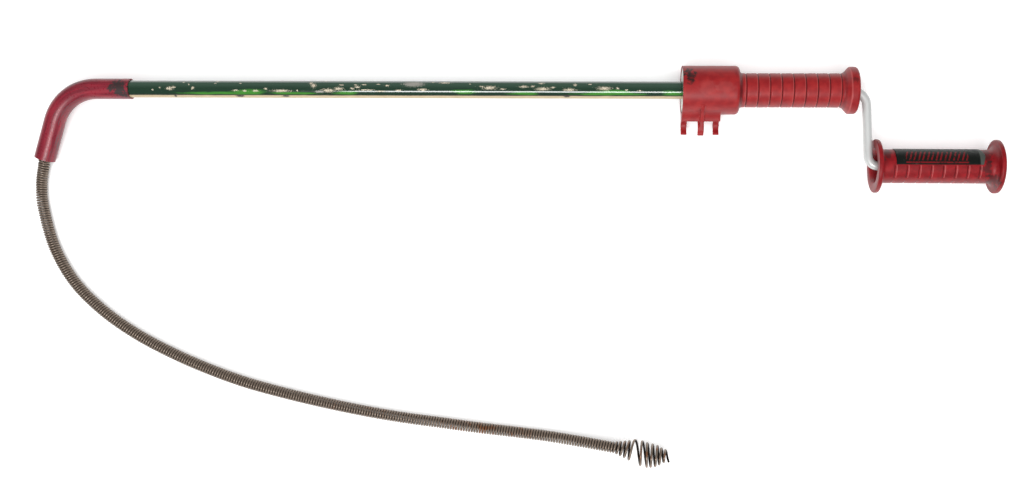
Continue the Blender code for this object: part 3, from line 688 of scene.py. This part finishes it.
def spring_wire(name, rust_from, rust_to):
    """Spring wire, dark on its side facing into the coil and between its turns (painted shade) and lighter
    on its outward crests (wear and a painted highlight), with rust between two places along X.
    """
    g = Graph(name)
    place = g.place()
    x, _, _ = g.split(place)
    crest = g.node("ShaderNodeAttribute", attribute_name="crest").outputs["Fac"]
    # Painted shade on the wire's side facing into the coil and between turns; its outward crests are
    # lighter, as wear and a painted highlight.
    wear_and_painted_light = g.band(g.scaled(g.noise(place, 420, 4), 0.5, -0.25, crest), 0.35, 0.80)
    bright = g.mix(g.noise(place, 300, 5, 0.6), linear(100, 87, 77), linear(142, 127, 114))
    rust = g.band(g.noise(place, 120, 6, 0.7), 0.50, 0.62)
    zone = g.both(g.band(x, rust_from - 0.03, rust_from + 0.01), g.band(x, rust_to + 0.02, rust_to - 0.02))
    some = g.band(g.noise(place, 55, 5, 0.7), 0.58, 0.72)
    rusty = g.either(g.both(rust, zone), g.both(some, 0.4))
    bright = g.mix(g.both(rusty, 0.75), bright, linear(126, 74, 36))
    colour = g.mix(wear_and_painted_light, linear(26, 20, 17), bright)
    g.set(Base_Color=colour, Metallic=g.both(wear_and_painted_light, 0.45), Roughness=g.blend(wear_and_painted_light, 0.6, 0.26))
    g.set(Specular_IOR_Level=g.blend(wear_and_painted_light, 0.15, 0.5))
    g.bump(g.noise(place, 2400, 3), 0.3, 0.00004)
    return g.material


def natural_nylon():
    g = Graph("natural_nylon")
    place = g.place()
    colour = g.mix(g.noise(place, 150, 4), linear(214, 208, 190), linear(232, 228, 214))
    grease = g.band(g.noise(place, 90, 5, 0.7), 0.50, 0.70)
    colour = g.mix(g.both(grease, 0.5), colour, linear(120, 108, 84))
    g.set(Base_Color=colour, Roughness=0.45, Subsurface_Weight=0.1)
    g.bump(g.noise(place, 1800, 3), 0.2, 0.00003)
    return g.material


def oiled_felt():
    g = Graph("oiled_felt")
    place = g.place()
    fibres = g.noise(place, 3200, 5, 0.8, 1.5)
    colour = g.mix(fibres, linear(60, 54, 48), linear(128, 118, 106))
    g.set(Base_Color=colour, Roughness=0.95, Sheen_Weight=0.4)
    g.bump(fibres, 0.9, 0.0003)
    return g.material


# The label on the grip, along it from the handle, and the pattern printed on it
LABEL_START = 226.7 * MM
LABEL_END = 316.2 * MM
PATTERN_START = 237 * MM
PATTERN_LENGTH = 66 * MM


def label_film():
    """Black film with a generic row of worn red bars and a red line: no lettering."""
    g = Graph("label_film")
    straight = g.straight()
    along, across, up = g.split(straight)
    around = g.maths("MULTIPLY", g.maths("ARCTAN2", across, up), GRIP_RADIUS)
    x = g.maths("SUBTRACT", along, PATTERN_START)
    slanted = g.scaled(around, -0.35, 0.0, x)
    cycle = g.maths("PINGPONG", slanted, 4.6 * MM)
    bars = g.both(g.band(cycle, 1.4 * MM, 1.7 * MM), g.band(cycle, 3.5 * MM, 3.2 * MM))
    tall = g.both(g.band(around, 4.2 * MM, 4.6 * MM), g.band(around, 16 * MM, 15.4 * MM))
    span = g.both(g.band(x, 0, 0.4 * MM), g.band(x, PATTERN_LENGTH, PATTERN_LENGTH - 0.6 * MM))
    line = g.both(g.band(around, 1.4 * MM, 1.7 * MM), g.band(around, 3.2 * MM, 2.9 * MM))
    wear_and_painted_light = g.band(g.noise(straight, 330, 6, 0.75), 0.40, 0.50)
    red = g.both(g.both(g.either(g.both(bars, tall), line), span), wear_and_painted_light)
    scratches = g.band(g.noise(g.stretched(straight, (0.25, 1, 1)), 500, 6, 0.75), 0.62, 0.66)
    film = g.mix(g.noise(straight, 160, 4), linear(7, 12, 9), linear(17, 20, 17))
    colour = g.mix(red, film, linear(112, 12, 20))
    colour = g.mix(g.both(scratches, 0.45), colour, linear(96, 98, 90))
    end = g.band(along, LABEL_END - 1.6 * MM, LABEL_END - 0.8 * MM)
    colour = g.mix(end, colour, linear(66, 70, 66))
    g.set(Base_Color=colour, Roughness=g.blend(wear_and_painted_light, 0.6, 0.45), Specular_IOR_Level=0.3)
    g.bump(g.both(scratches, -1.0), 0.4, 0.00005)
    return g.material


# Handle


def arc(centre_along, centre_radius, radius, start, end, steps):
    """Profile points round a corner, by the angle from the +X direction towards the outside."""
    angles = [math.radians(start + (end - start) * i / steps) for i in range(steps + 1)]
    return [(centre_along + radius * math.cos(a), centre_radius + radius * math.sin(a)) for a in angles]


def fill_in(profile, step):
    """The profile with points added, so that none are further apart than step."""
    full = []
    for (x0, r0), (x1, r1) in zip(profile, profile[1:]):
        count = max(1, math.ceil(math.hypot(x1 - x0, r1 - r0) / step))
        full += [(x0 + (x1 - x0) * i / count, r0 + (r1 - r0) * i / count) for i in range(count)]
    return [*full, profile[-1]]


def groove(centre, radius, depth, width):
    """A narrow rounded groove with a slightly raised lip towards -X, from +X to -X."""
    half = width / 2
    return [
        (centre + half + 0.5 * MM, radius),
        (centre + half, radius - 0.15 * depth),
        (centre + half * 0.5, radius - 0.75 * depth),
        (centre, radius - depth),
        (centre - half * 0.5, radius - 0.75 * depth),
        (centre - half, radius - 0.1 * depth),
        (centre - half - 0.6 * MM, radius + 0.12 * MM),
        (centre - half - 1.5 * MM, radius),
    ]


def handle_grip_profile():
    rim = 3 * MM
    points = [
        (HANDLE_LENGTH, 12.3 * MM),
        (HANDLE_LENGTH, HANDLE_FLANGE_RADIUS - rim),
        *arc(HANDLE_LENGTH - rim, HANDLE_FLANGE_RADIUS - rim, rim, 0, 90, 8),
        (HANDLE_LENGTH - 9.0 * MM, HANDLE_FLANGE_RADIUS),
        (HANDLE_LENGTH - 9.5 * MM, HANDLE_FLANGE_RADIUS - 0.45 * MM),
        (HANDLE_LENGTH - 13.2 * MM, HANDLE_GRIP_RADIUS + 2.5 * MM),
        (HANDLE_LENGTH - 14.0 * MM, HANDLE_GRIP_RADIUS + 1.6 * MM),
        (HANDLE_LENGTH - 15.0 * MM, HANDLE_GRIP_RADIUS + 0.8 * MM),
        (HANDLE_LENGTH - 16.6 * MM, HANDLE_GRIP_RADIUS + 0.3 * MM),
    ]
    for i in reversed(range(GROOVE_COUNT)):
        points += groove(GROOVE_FIRST + GROOVE_PITCH * i, HANDLE_GRIP_RADIUS, 0.85 * MM, 1.5 * MM)
    points += [
        (BARREL_LENGTH + 3.0 * MM, HANDLE_GRIP_RADIUS + 0.1 * MM),
        (BARREL_LENGTH + 1.6 * MM, HANDLE_GRIP_RADIUS + 0.7 * MM),
        (BARREL_LENGTH + 0.6 * MM, HANDLE_GRIP_RADIUS + 1.9 * MM),
        (BARREL_LENGTH - 1.0 * MM, HANDLE_GRIP_RADIUS + 2.6 * MM),
        (BARREL_LENGTH - 2.0 * MM, HANDLE_GRIP_RADIUS),
        (BARREL_LENGTH - 2.0 * MM, TUBE_RADIUS + 0.3 * MM),
        (BUSH_SEAT, TUBE_RADIUS + 0.3 * MM),
        (BUSH_SEAT, 12.3 * MM),
    ]
    return fill_in([*points, points[0]], 1.4 * MM)[:-1]


def parting(angle, width):
    """1 on the mould's two parting lines, along the +Y and -Y sides, fading within width radians."""
    away = abs(abs((angle + math.pi) % (2 * math.pi) - math.pi) - math.pi / 2)
    return max(0.0, 1 - away / width)


def handle_grip_shape(along, angle, radius):
    if radius < 17 * MM or along < BARREL_LENGTH:
        return radius
    flash = 0.30 * MM * parting(angle, 0.035) * (0.6 + 0.8 * noise.noise((along * 900, angle, 0)))
    uneven = 0.10 * MM * noise.noise((along * 90, math.cos(angle) * 1.6, math.sin(angle) * 1.6))
    return radius + flash + uneven


def barrel_profile():
    shoulder = 4.3 * MM
    corner = BARREL_LENGTH - shoulder
    plate = 25.5 * MM
    return [
        (BARREL_LENGTH, TUBE_RADIUS + 0.5 * MM),
        *arc(corner, BARREL_RADIUS - shoulder, shoulder, 0, 90, 10),
        (0.35 * MM, BARREL_RADIUS),
        (0, BARREL_RADIUS - 0.35 * MM),
        (0, plate),
        (2.6 * MM, plate),
        (2.6 * MM, BARREL_RADIUS - BARREL_WALL),
        (corner, BARREL_RADIUS - BARREL_WALL),
        (corner, TUBE_RADIUS + 0.5 * MM),
    ]


def extruded(outline, start, end, bevel):
    """A (y, z) outline in mm, extruded along X in metres, with rounded edges, as a bmesh."""
    shape = bmesh.new()
    ring = [shape.verts.new((start, y * MM, z * MM)) for y, z in outline]
    shape.faces.new(ring)
    made = bmesh.ops.extrude_face_region(shape, geom=list(shape.faces))
    moved = [v for v in made["geom"] if isinstance(v, bmesh.types.BMVert)]
    bmesh.ops.translate(shape, verts=moved, vec=(end - start, 0, 0))
    bmesh.ops.recalc_face_normals(shape, faces=shape.faces)
    if bevel:
        bmesh.ops.bevel(shape, geom=list(shape.edges), offset=bevel, segments=2, affect="EDGES")
    return shape


def clip_finger(side):
    """A finger's outline in mm: a C round the stored cable, then a turned-out lip."""
    inner, outer = CLIP_CHANNEL_RADIUS / MM, CLIP_CHANNEL_RADIUS / MM + 2.3
    centre = CLIP_CENTRE / MM
    angles = [math.radians(8 + 137 * i / 16) for i in range(17)]

    def on(radius, angle):
        return (radius * math.cos(angle) - centre, side * radius * math.sin(angle))

    end = angles[-1]
    lip = [on(outer + 0.9, end + 0.04), on(outer + 0.6, end + 0.14), on(outer - 0.6, end + 0.2)]
    return [on(outer, a) for a in angles] + lip + [on(inner, a) for a in reversed(angles)]


def clip_base_outline():
    upper = [(-24.8, 7.8), (-19.5, 17.2), (-19.2, 18.0), (-21.2, 15.2), (-23.6, 12.6), (-26.6, 10.3),
             (-30.0, 8.8), (-33.6, 7.9)]
    return [(-26.0, 0), *upper, *[(y, -z) for y, z in reversed(upper)]]


CLIP_RIB = [(-15.2, 20.3), (-15.9, 22.3), (-20.0, 20.0), (-27.0, 14.9), (-33.0, 11.2), (-40.6, 9.3),
            (-40.6, 7.2), (-33.0, 5.0), (-24.5, 7.0)]


def waisted(shape, start, end):
    """Narrows a finger between its root and its lip."""
    middle = (start + end) / 2
    for vertex in shape.verts:
        out = -vertex.co.y / MM
        waist = 1 - 0.22 * max(0.0, 1 - abs(out - 44.0) / 4.0)
        vertex.co.x = middle + (vertex.co.x - middle) * waist
    return shape


def make_barrel():
    """Barrel and cable clip as one moulding: joined, remeshed and eased, then its round wall trued."""
    lathe_mesh = lathe("handle_barrel", barrel_profile(), 160, Matrix.Identity(4)).data
    whole = bmesh.new()
    whole.from_mesh(lathe_mesh)
    first, width = 0.3 * MM, 6.9 * MM
    middle = first + CLIP_WIDTH / 2 - width / 2
    far = first + CLIP_WIDTH - width
    shapes = [
        extruded(clip_base_outline(), first, first + CLIP_WIDTH, 0.5 * MM),
        waisted(extruded(clip_finger(-1), first, first + width, 0.35 * MM), first, first + width),
        waisted(extruded(clip_finger(-1), far, far + width, 0.35 * MM), far, far + width),
        extruded(clip_finger(1), middle, middle + width, 0.35 * MM),
        extruded(CLIP_RIB, middle + 2.2 * MM, middle + width - 0.6 * MM, 0.35 * MM),
    ]
    for shape in shapes:
        part = bpy.data.meshes.new("clip_shape")
        shape.to_mesh(part)
        shape.free()
        whole.from_mesh(part)
        bpy.data.meshes.remove(part)
    barrel = bpy.data.objects["handle_barrel"]
    whole.to_mesh(barrel.data)
    whole.free()
    remesh = barrel.modifiers.new("one_moulding", "REMESH")
    remesh.mode = "VOXEL"
    remesh.voxel_size = 0.45 * MM
    ease = barrel.modifiers.new("eased", "SMOOTH")
    ease.factor = 0.5
    ease.iterations = 5
    bpy.context.view_layer.update()
    graph = bpy.context.evaluated_depsgraph_get()
    mesh = bpy.data.meshes.new_from_object(barrel.evaluated_get(graph))
    barrel.modifiers.clear()
    places = np.zeros(len(mesh.vertices) * 3)
    mesh.vertices.foreach_get("co", places)
    places = places.reshape(-1, 3)
    radius = np.hypot(places[:, 1], places[:, 2])
    for wall in (BARREL_RADIUS, BARREL_RADIUS - BARREL_WALL):
        inside = (places[:, 0] > 1.5 * MM) & (places[:, 0] < BARREL_LENGTH - 4.6 * MM)
        clear = inside & ((places[:, 1] > -14 * MM) | (wall < BARREL_RADIUS))
        near = clear & (np.abs(radius - wall) < 0.5 * MM)
        places[near, 1:] *= (wall / radius[near])[:, None]
    attribute = mesh.attributes.new("straight", "FLOAT_VECTOR", "POINT")
    attribute.data.foreach_set("vector", places.astype(np.float32).ravel())
    mesh.vertices.foreach_set("co", places.ravel())
    mesh.transform(GUIDE_PLACE)
    mesh.shade_smooth()
    barrel.data = mesh
    return barrel


# Crank grip


def crank_grip_profile():
    rim, back = 1.6 * MM, 6.5 * MM
    left, right = GRIP_START + 4.9 * MM, GRIP_END - 4.9 * MM
    seat = GRIP_END - 3.4 * MM
    outside = [
        (GRIP_END, CAP_RADIUS + 0.3 * MM),
        (GRIP_END, GRIP_FLANGE_RADIUS - rim),
        *arc(GRIP_END - rim, GRIP_FLANGE_RADIUS - rim, rim, 0, 90, 6),
        *arc(right + rim, GRIP_FLANGE_RADIUS - rim, rim, 90, 180, 6),
        *arc(right - back, GRIP_RADIUS + back, back, 0, -90, 10),
    ]
    inside = [
        *arc(left + 4 * MM, GRIP_RADIUS + 4 * MM, 4 * MM, -90, -180, 7),
        *arc(left - rim, GRIP_FLANGE_RADIUS - rim, rim, 0, 90, 6),
        *arc(GRIP_START + rim, GRIP_FLANGE_RADIUS - rim, rim, 90, 180, 6),
        (GRIP_START, 19.6 * MM),
        (GRIP_START + 0.5 * MM, 18.8 * MM),
        (GRIP_START + 2.5 * MM, 17.1 * MM),
        (GRIP_START + 7 * MM, 15.6 * MM),
        (seat, 15.6 * MM),
        (seat, CAP_RADIUS + 0.3 * MM),
    ]
    start, end = outside[-1][0], inside[0][0]
    count = round((start - end) / (0.42 * MM))
    tube = [(start + (end - start) * i / count, GRIP_RADIUS) for i in range(1, count)]
    return [*outside, *tube, *inside]


SLOT_ROWS = ((2, 51), (66, 115), (130, 179))  # degrees from the top towards -Y
SLOT_FIRST = 226.6 * MM
SLOT_PITCH = 12.7 * MM
SLOT_COUNT = 8
SLOT_WIDTH = 2.4 * MM
SLOT_DEPTH = 0.75 * MM


def crank_grip_shape(along, angle, radius):
    if abs(radius - GRIP_RADIUS) > 0.01 * MM:
        return radius
    turned = math.degrees(-angle) % 360
    across = abs((along - SLOT_FIRST + SLOT_PITCH / 2) % SLOT_PITCH - SLOT_PITCH / 2)
    if along < SLOT_FIRST - 3 * MM or along > SLOT_FIRST + SLOT_PITCH * (SLOT_COUNT - 1) + 3 * MM:
        return radius
    arc_length = math.radians(1) * GRIP_RADIUS
    depth = 0.0
    for low, high in SLOT_ROWS:
        beyond = max(low + 4 - turned, turned - high + 4, 0) * arc_length
        distance = math.hypot(beyond, across)
        wall = (SLOT_WIDTH / 2 - distance) / (0.7 * MM)
        depth = max(depth, SLOT_DEPTH * min(1.0, max(0.0, wall)))
    return radius - depth


def make_label():
    """The label, a thin skin from the grip's top line to its +Y side, with slanted ends."""
    rows, columns = 120, 28
    skin = GRIP_RADIUS + 0.5 * MM
    vertices = []
    for i in range(rows):
        for j in range(columns):
            angle = math.radians(88) * j / (columns - 1)
            slant = 3.2 * MM * (1 - j / (columns - 1))
            left = LABEL_START + 0.15 * slant
            right = LABEL_END + 4.6 * MM * (1 - abs(j / (columns - 1) - 0.35) / 0.65)
            along = right + (left - right) * i / (rows - 1)
            vertices.append((min(along, 320.9 * MM), skin * math.sin(angle), skin * math.cos(angle)))
    faces = []
    for i in range(rows - 1):
        for j in range(columns - 1):
            a = i * columns + j
            faces.append((a, a + 1, a + columns + 1, a + columns))
    label = finish_mesh("label", vertices, faces, vertices, GRIP_PLACE)
    shell = label.modifiers.new("skin", "SOLIDIFY")
    shell.thickness = 0.22 * MM
    shell.offset = 0
    return label


# Bulb


def make_bulb():
    """The cable's wire opened into a bulb, half a turn at a time, over the top and back below."""
    place = Matrix.Translation(BULB_START) @ BULB_AXIS.to_track_quat("X", "Z").to_matrix().to_4x4()
    ends = [(x * MM, y * MM - math.copysign(WIRE_RADIUS, y)) for x, y in BULB_TURNS]
    padded = [ends[0], *ends, ends[-1]]
    path, steps = [], 16
    for before, start, end, after in zip(padded, padded[1:], padded[2:], padded[3:]):
        for i in range(steps):
            t = i / steps
            leave, arrive = (end[0] - before[0]) / 2, (after[0] - start[0]) / 2
            x = (start[0] * (1 - t) ** 2 * (1 + 2 * t) + end[0] * t**2 * (3 - 2 * t)
                 + leave * t * (1 - t) ** 2 - arrive * t**2 * (1 - t))
            y = (start[1] + end[1]) / 2 + (start[1] - end[1]) / 2 * math.cos(math.pi * t)
            path.append(Vector((x, y, (end[1] - start[1]) / 2 * math.sin(math.pi * t))))
    path.append(Vector((*ends[-1], 0)))
    wire = sweep("bulb", path, WIRE_RADIUS, 12, place)
    mark_crests(wire, path, [Vector((point.x, 0, 0)) for point in path], 12, place)
    return wire


# Put everything together

GREEN = green_enamel()
VINYL = guard_vinyl()
HANDLE_RED = handle_red()
GRIP_RED = grip_red()
ZINC = bright_zinc()
PLATE = plate_steel()
STEEL = turned_steel()
NYLON = natural_nylon()
FELT = oiled_felt()
LABEL = label_film()
WIRE = spring_wire("spring_wire", -0.06, 0.03)
BULB_WIRE = spring_wire("bulb_wire", 0.15, 0.25)


def put(piece, material, body, slot, *nodes):
    piece.data.materials.clear()
    piece.data.materials.append(material)
    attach(piece, body)
    if nodes:
        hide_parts(*nodes)
    return piece


tube_path = guide_path(TUBE_END, LEG_LENGTH - TUBE_SHORTER, 6 * MM)
put(sweep("tube", tube_path, TUBE_RADIUS, 64, GUIDE_PLACE, TUBE_RADIUS - 1 * MM, TUBE_END),
    GREEN, "guide", "green_paint", "guide_tube")
guard_start = BEND_START + GUARD_OVERLAP
put(sweep("guard", guide_path(guard_start, LEG_LENGTH, 1.6 * MM), GUARD_RADIUS, 72, GUIDE_PLACE, GUARD_BORE,
          guard_start), VINYL, "guide", "red_vinyl", "bowl_guard")
put(make_barrel(), HANDLE_RED, "guide", "red_plastic", "handle_body")
put(lathe("handle_grip", handle_grip_profile(), 144, GUIDE_PLACE, handle_grip_shape),
    HANDLE_RED, "guide", "red_plastic")

rod_corners = [
    (ROD_INNER_END, 0, 0), (ARM_AT, 0, 0),
    (ARM_AT + ARM_LEAN, -CRANK_THROW, 0), (PIN_END, -CRANK_THROW, 0),
]
rod_path = bent_path(rod_corners, [ARM_BEND, ROD_BEND], 1.2 * MM)
put(sweep("rod", rod_path, ROD_RADIUS, 40, CRANK_PLACE), ZINC, "crank", "plated_steel", "crank_rod")
put(lathe("hand_grip", crank_grip_profile(), 200, GRIP_PLACE, crank_grip_shape),
    GRIP_RED, "grip", "deep_red_plastic", "crank_grip")
put(make_label(), LABEL, "grip", "black_label", "grip_label")

mouth = guide_path(COUPLING_WEB_AT, LEG_LENGTH, 2 * MM)[-1]
leg = Vector((-math.cos(BEND_ANGLE), -math.sin(BEND_ANGLE), 0))
cord_start = GUIDE_PLACE @ (mouth + leg * 0.3 * MM)
cord_next = GUIDE_PLACE @ (mouth + leg * 4 * MM)
cord_end = BULB_START + BULB_AXIS * BULB_TURNS[0][0] * MM
route = smooth_route([cord_next, *(Vector(p) * MM for p in CABLE_ROUTE), cord_end], 2 * MM)
route = [cord_start, *route]
cable, mouth_phase = coil("cable", route, CABLE_PITCHES, 1.5 * math.pi, Matrix.Identity(4))
put(cable, WIRE, "guide", "spring_steel", "snake_cable")
inside = guide_path(COUPLING_WEB_AT, LEG_LENGTH - 0.15 * MM, 2 * MM)
inside_coil, _ = coil("cable_inside", inside, (CABLE_PITCHES[0],) * 2, mouth_phase, GUIDE_PLACE)
put(inside_coil, WIRE, "guide", "spring_steel", "cable_in_guide")
bulb = put(make_bulb(), BULB_WIRE, "bulb", "spring_steel", "bulb_head")

CAD_FINISHES = {
    "end_plate": PLATE, "tube_collar": STEEL, "collar_set_screw": STEEL, "rod_bush": NYLON,
    "rod_wiper": FELT, "guide_sleeve": NYLON, "cable_coupling": STEEL, "coupling_pin": STEEL,
    "sleeve_ring": STEEL, "grip_bush_inner": NYLON, "grip_bush_outer": NYLON, "grip_washer_inner": STEEL,
    "grip_washer_outer": STEEL, "push_nut": STEEL, "grip_end_cap": GRIP_RED,
}
for name, finish in CAD_FINISHES.items():
    node = frame["nodes"][name]
    node.data.materials.clear()
    node.data.materials.append(finish)
    node.data.shade_smooth()
    node.data.set_sharp_from_angle(angle=math.radians(35))


# Floor, light and camera

CAMERA_AT = (0.1076, -0.1337, 1.2223)
CAMERA_TURN = (-0.0009, 0.0460, 0.0091)
FOCAL = 38.32
SHIFT = -0.0370


def make_floor():
    mesh = bpy.data.meshes.new("floor")
    shape = bmesh.new()
    bmesh.ops.create_grid(shape, x_segments=1, y_segments=1, size=6)
    shape.to_mesh(mesh)
    shape.free()
    floor = bpy.data.objects.new("floor", mesh)
    bpy.context.scene.collection.objects.link(floor)
    g = Graph("white_paper")
    g.set(Base_Color=g.mix(g.noise(g.place(), 3, 2), (0.9, 0.9, 0.9), (0.93, 0.93, 0.93)), Roughness=0.9)
    g.set(Emission_Color=(1, 1, 1, 1), Emission_Strength=0.24)
    mesh.materials.append(g.material)


def area_light(name, at, towards, size, watts, in_reflections=True):
    data = bpy.data.lights.new(name, "AREA")
    data.shape = "RECTANGLE"
    data.size, data.size_y = size
    data.energy = watts
    light = bpy.data.objects.new(name, data)
    light.location = at
    light.rotation_euler = (Vector(towards) - Vector(at)).to_track_quat("-Z", "Y").to_euler()
    light.visible_glossy = in_reflections
    bpy.context.scene.collection.objects.link(light)


def make_light():
    area_light("softbox", (-0.14, -1.25, 1.85), (0.0, 0, 0), (1.1, 0.55), 26)
    area_light("fill", (0.0, -0.2, 2.6), (0, 0, 0), (3.2, 2.6), 78, in_reflections=False)
    world = bpy.data.worlds.new("studio")
    world.use_nodes = True
    world.node_tree.nodes["Background"].inputs["Color"].default_value = (1, 1, 1, 1)
    world.node_tree.nodes["Background"].inputs["Strength"].default_value = 0.22
    bpy.context.scene.world = world
    bpy.context.scene.view_settings.view_transform = "Standard"


def make_camera():
    data = bpy.data.cameras.new("camera")
    data.lens = FOCAL
    data.sensor_width = 36
    data.shift_x = SHIFT
    data.clip_end = 50
    camera = bpy.data.objects.new("camera", data)
    camera.location = CAMERA_AT
    camera.rotation_euler = CAMERA_TURN
    bpy.context.scene.collection.objects.link(camera)
    bpy.context.scene.camera = camera


make_floor()
make_light()
make_camera()
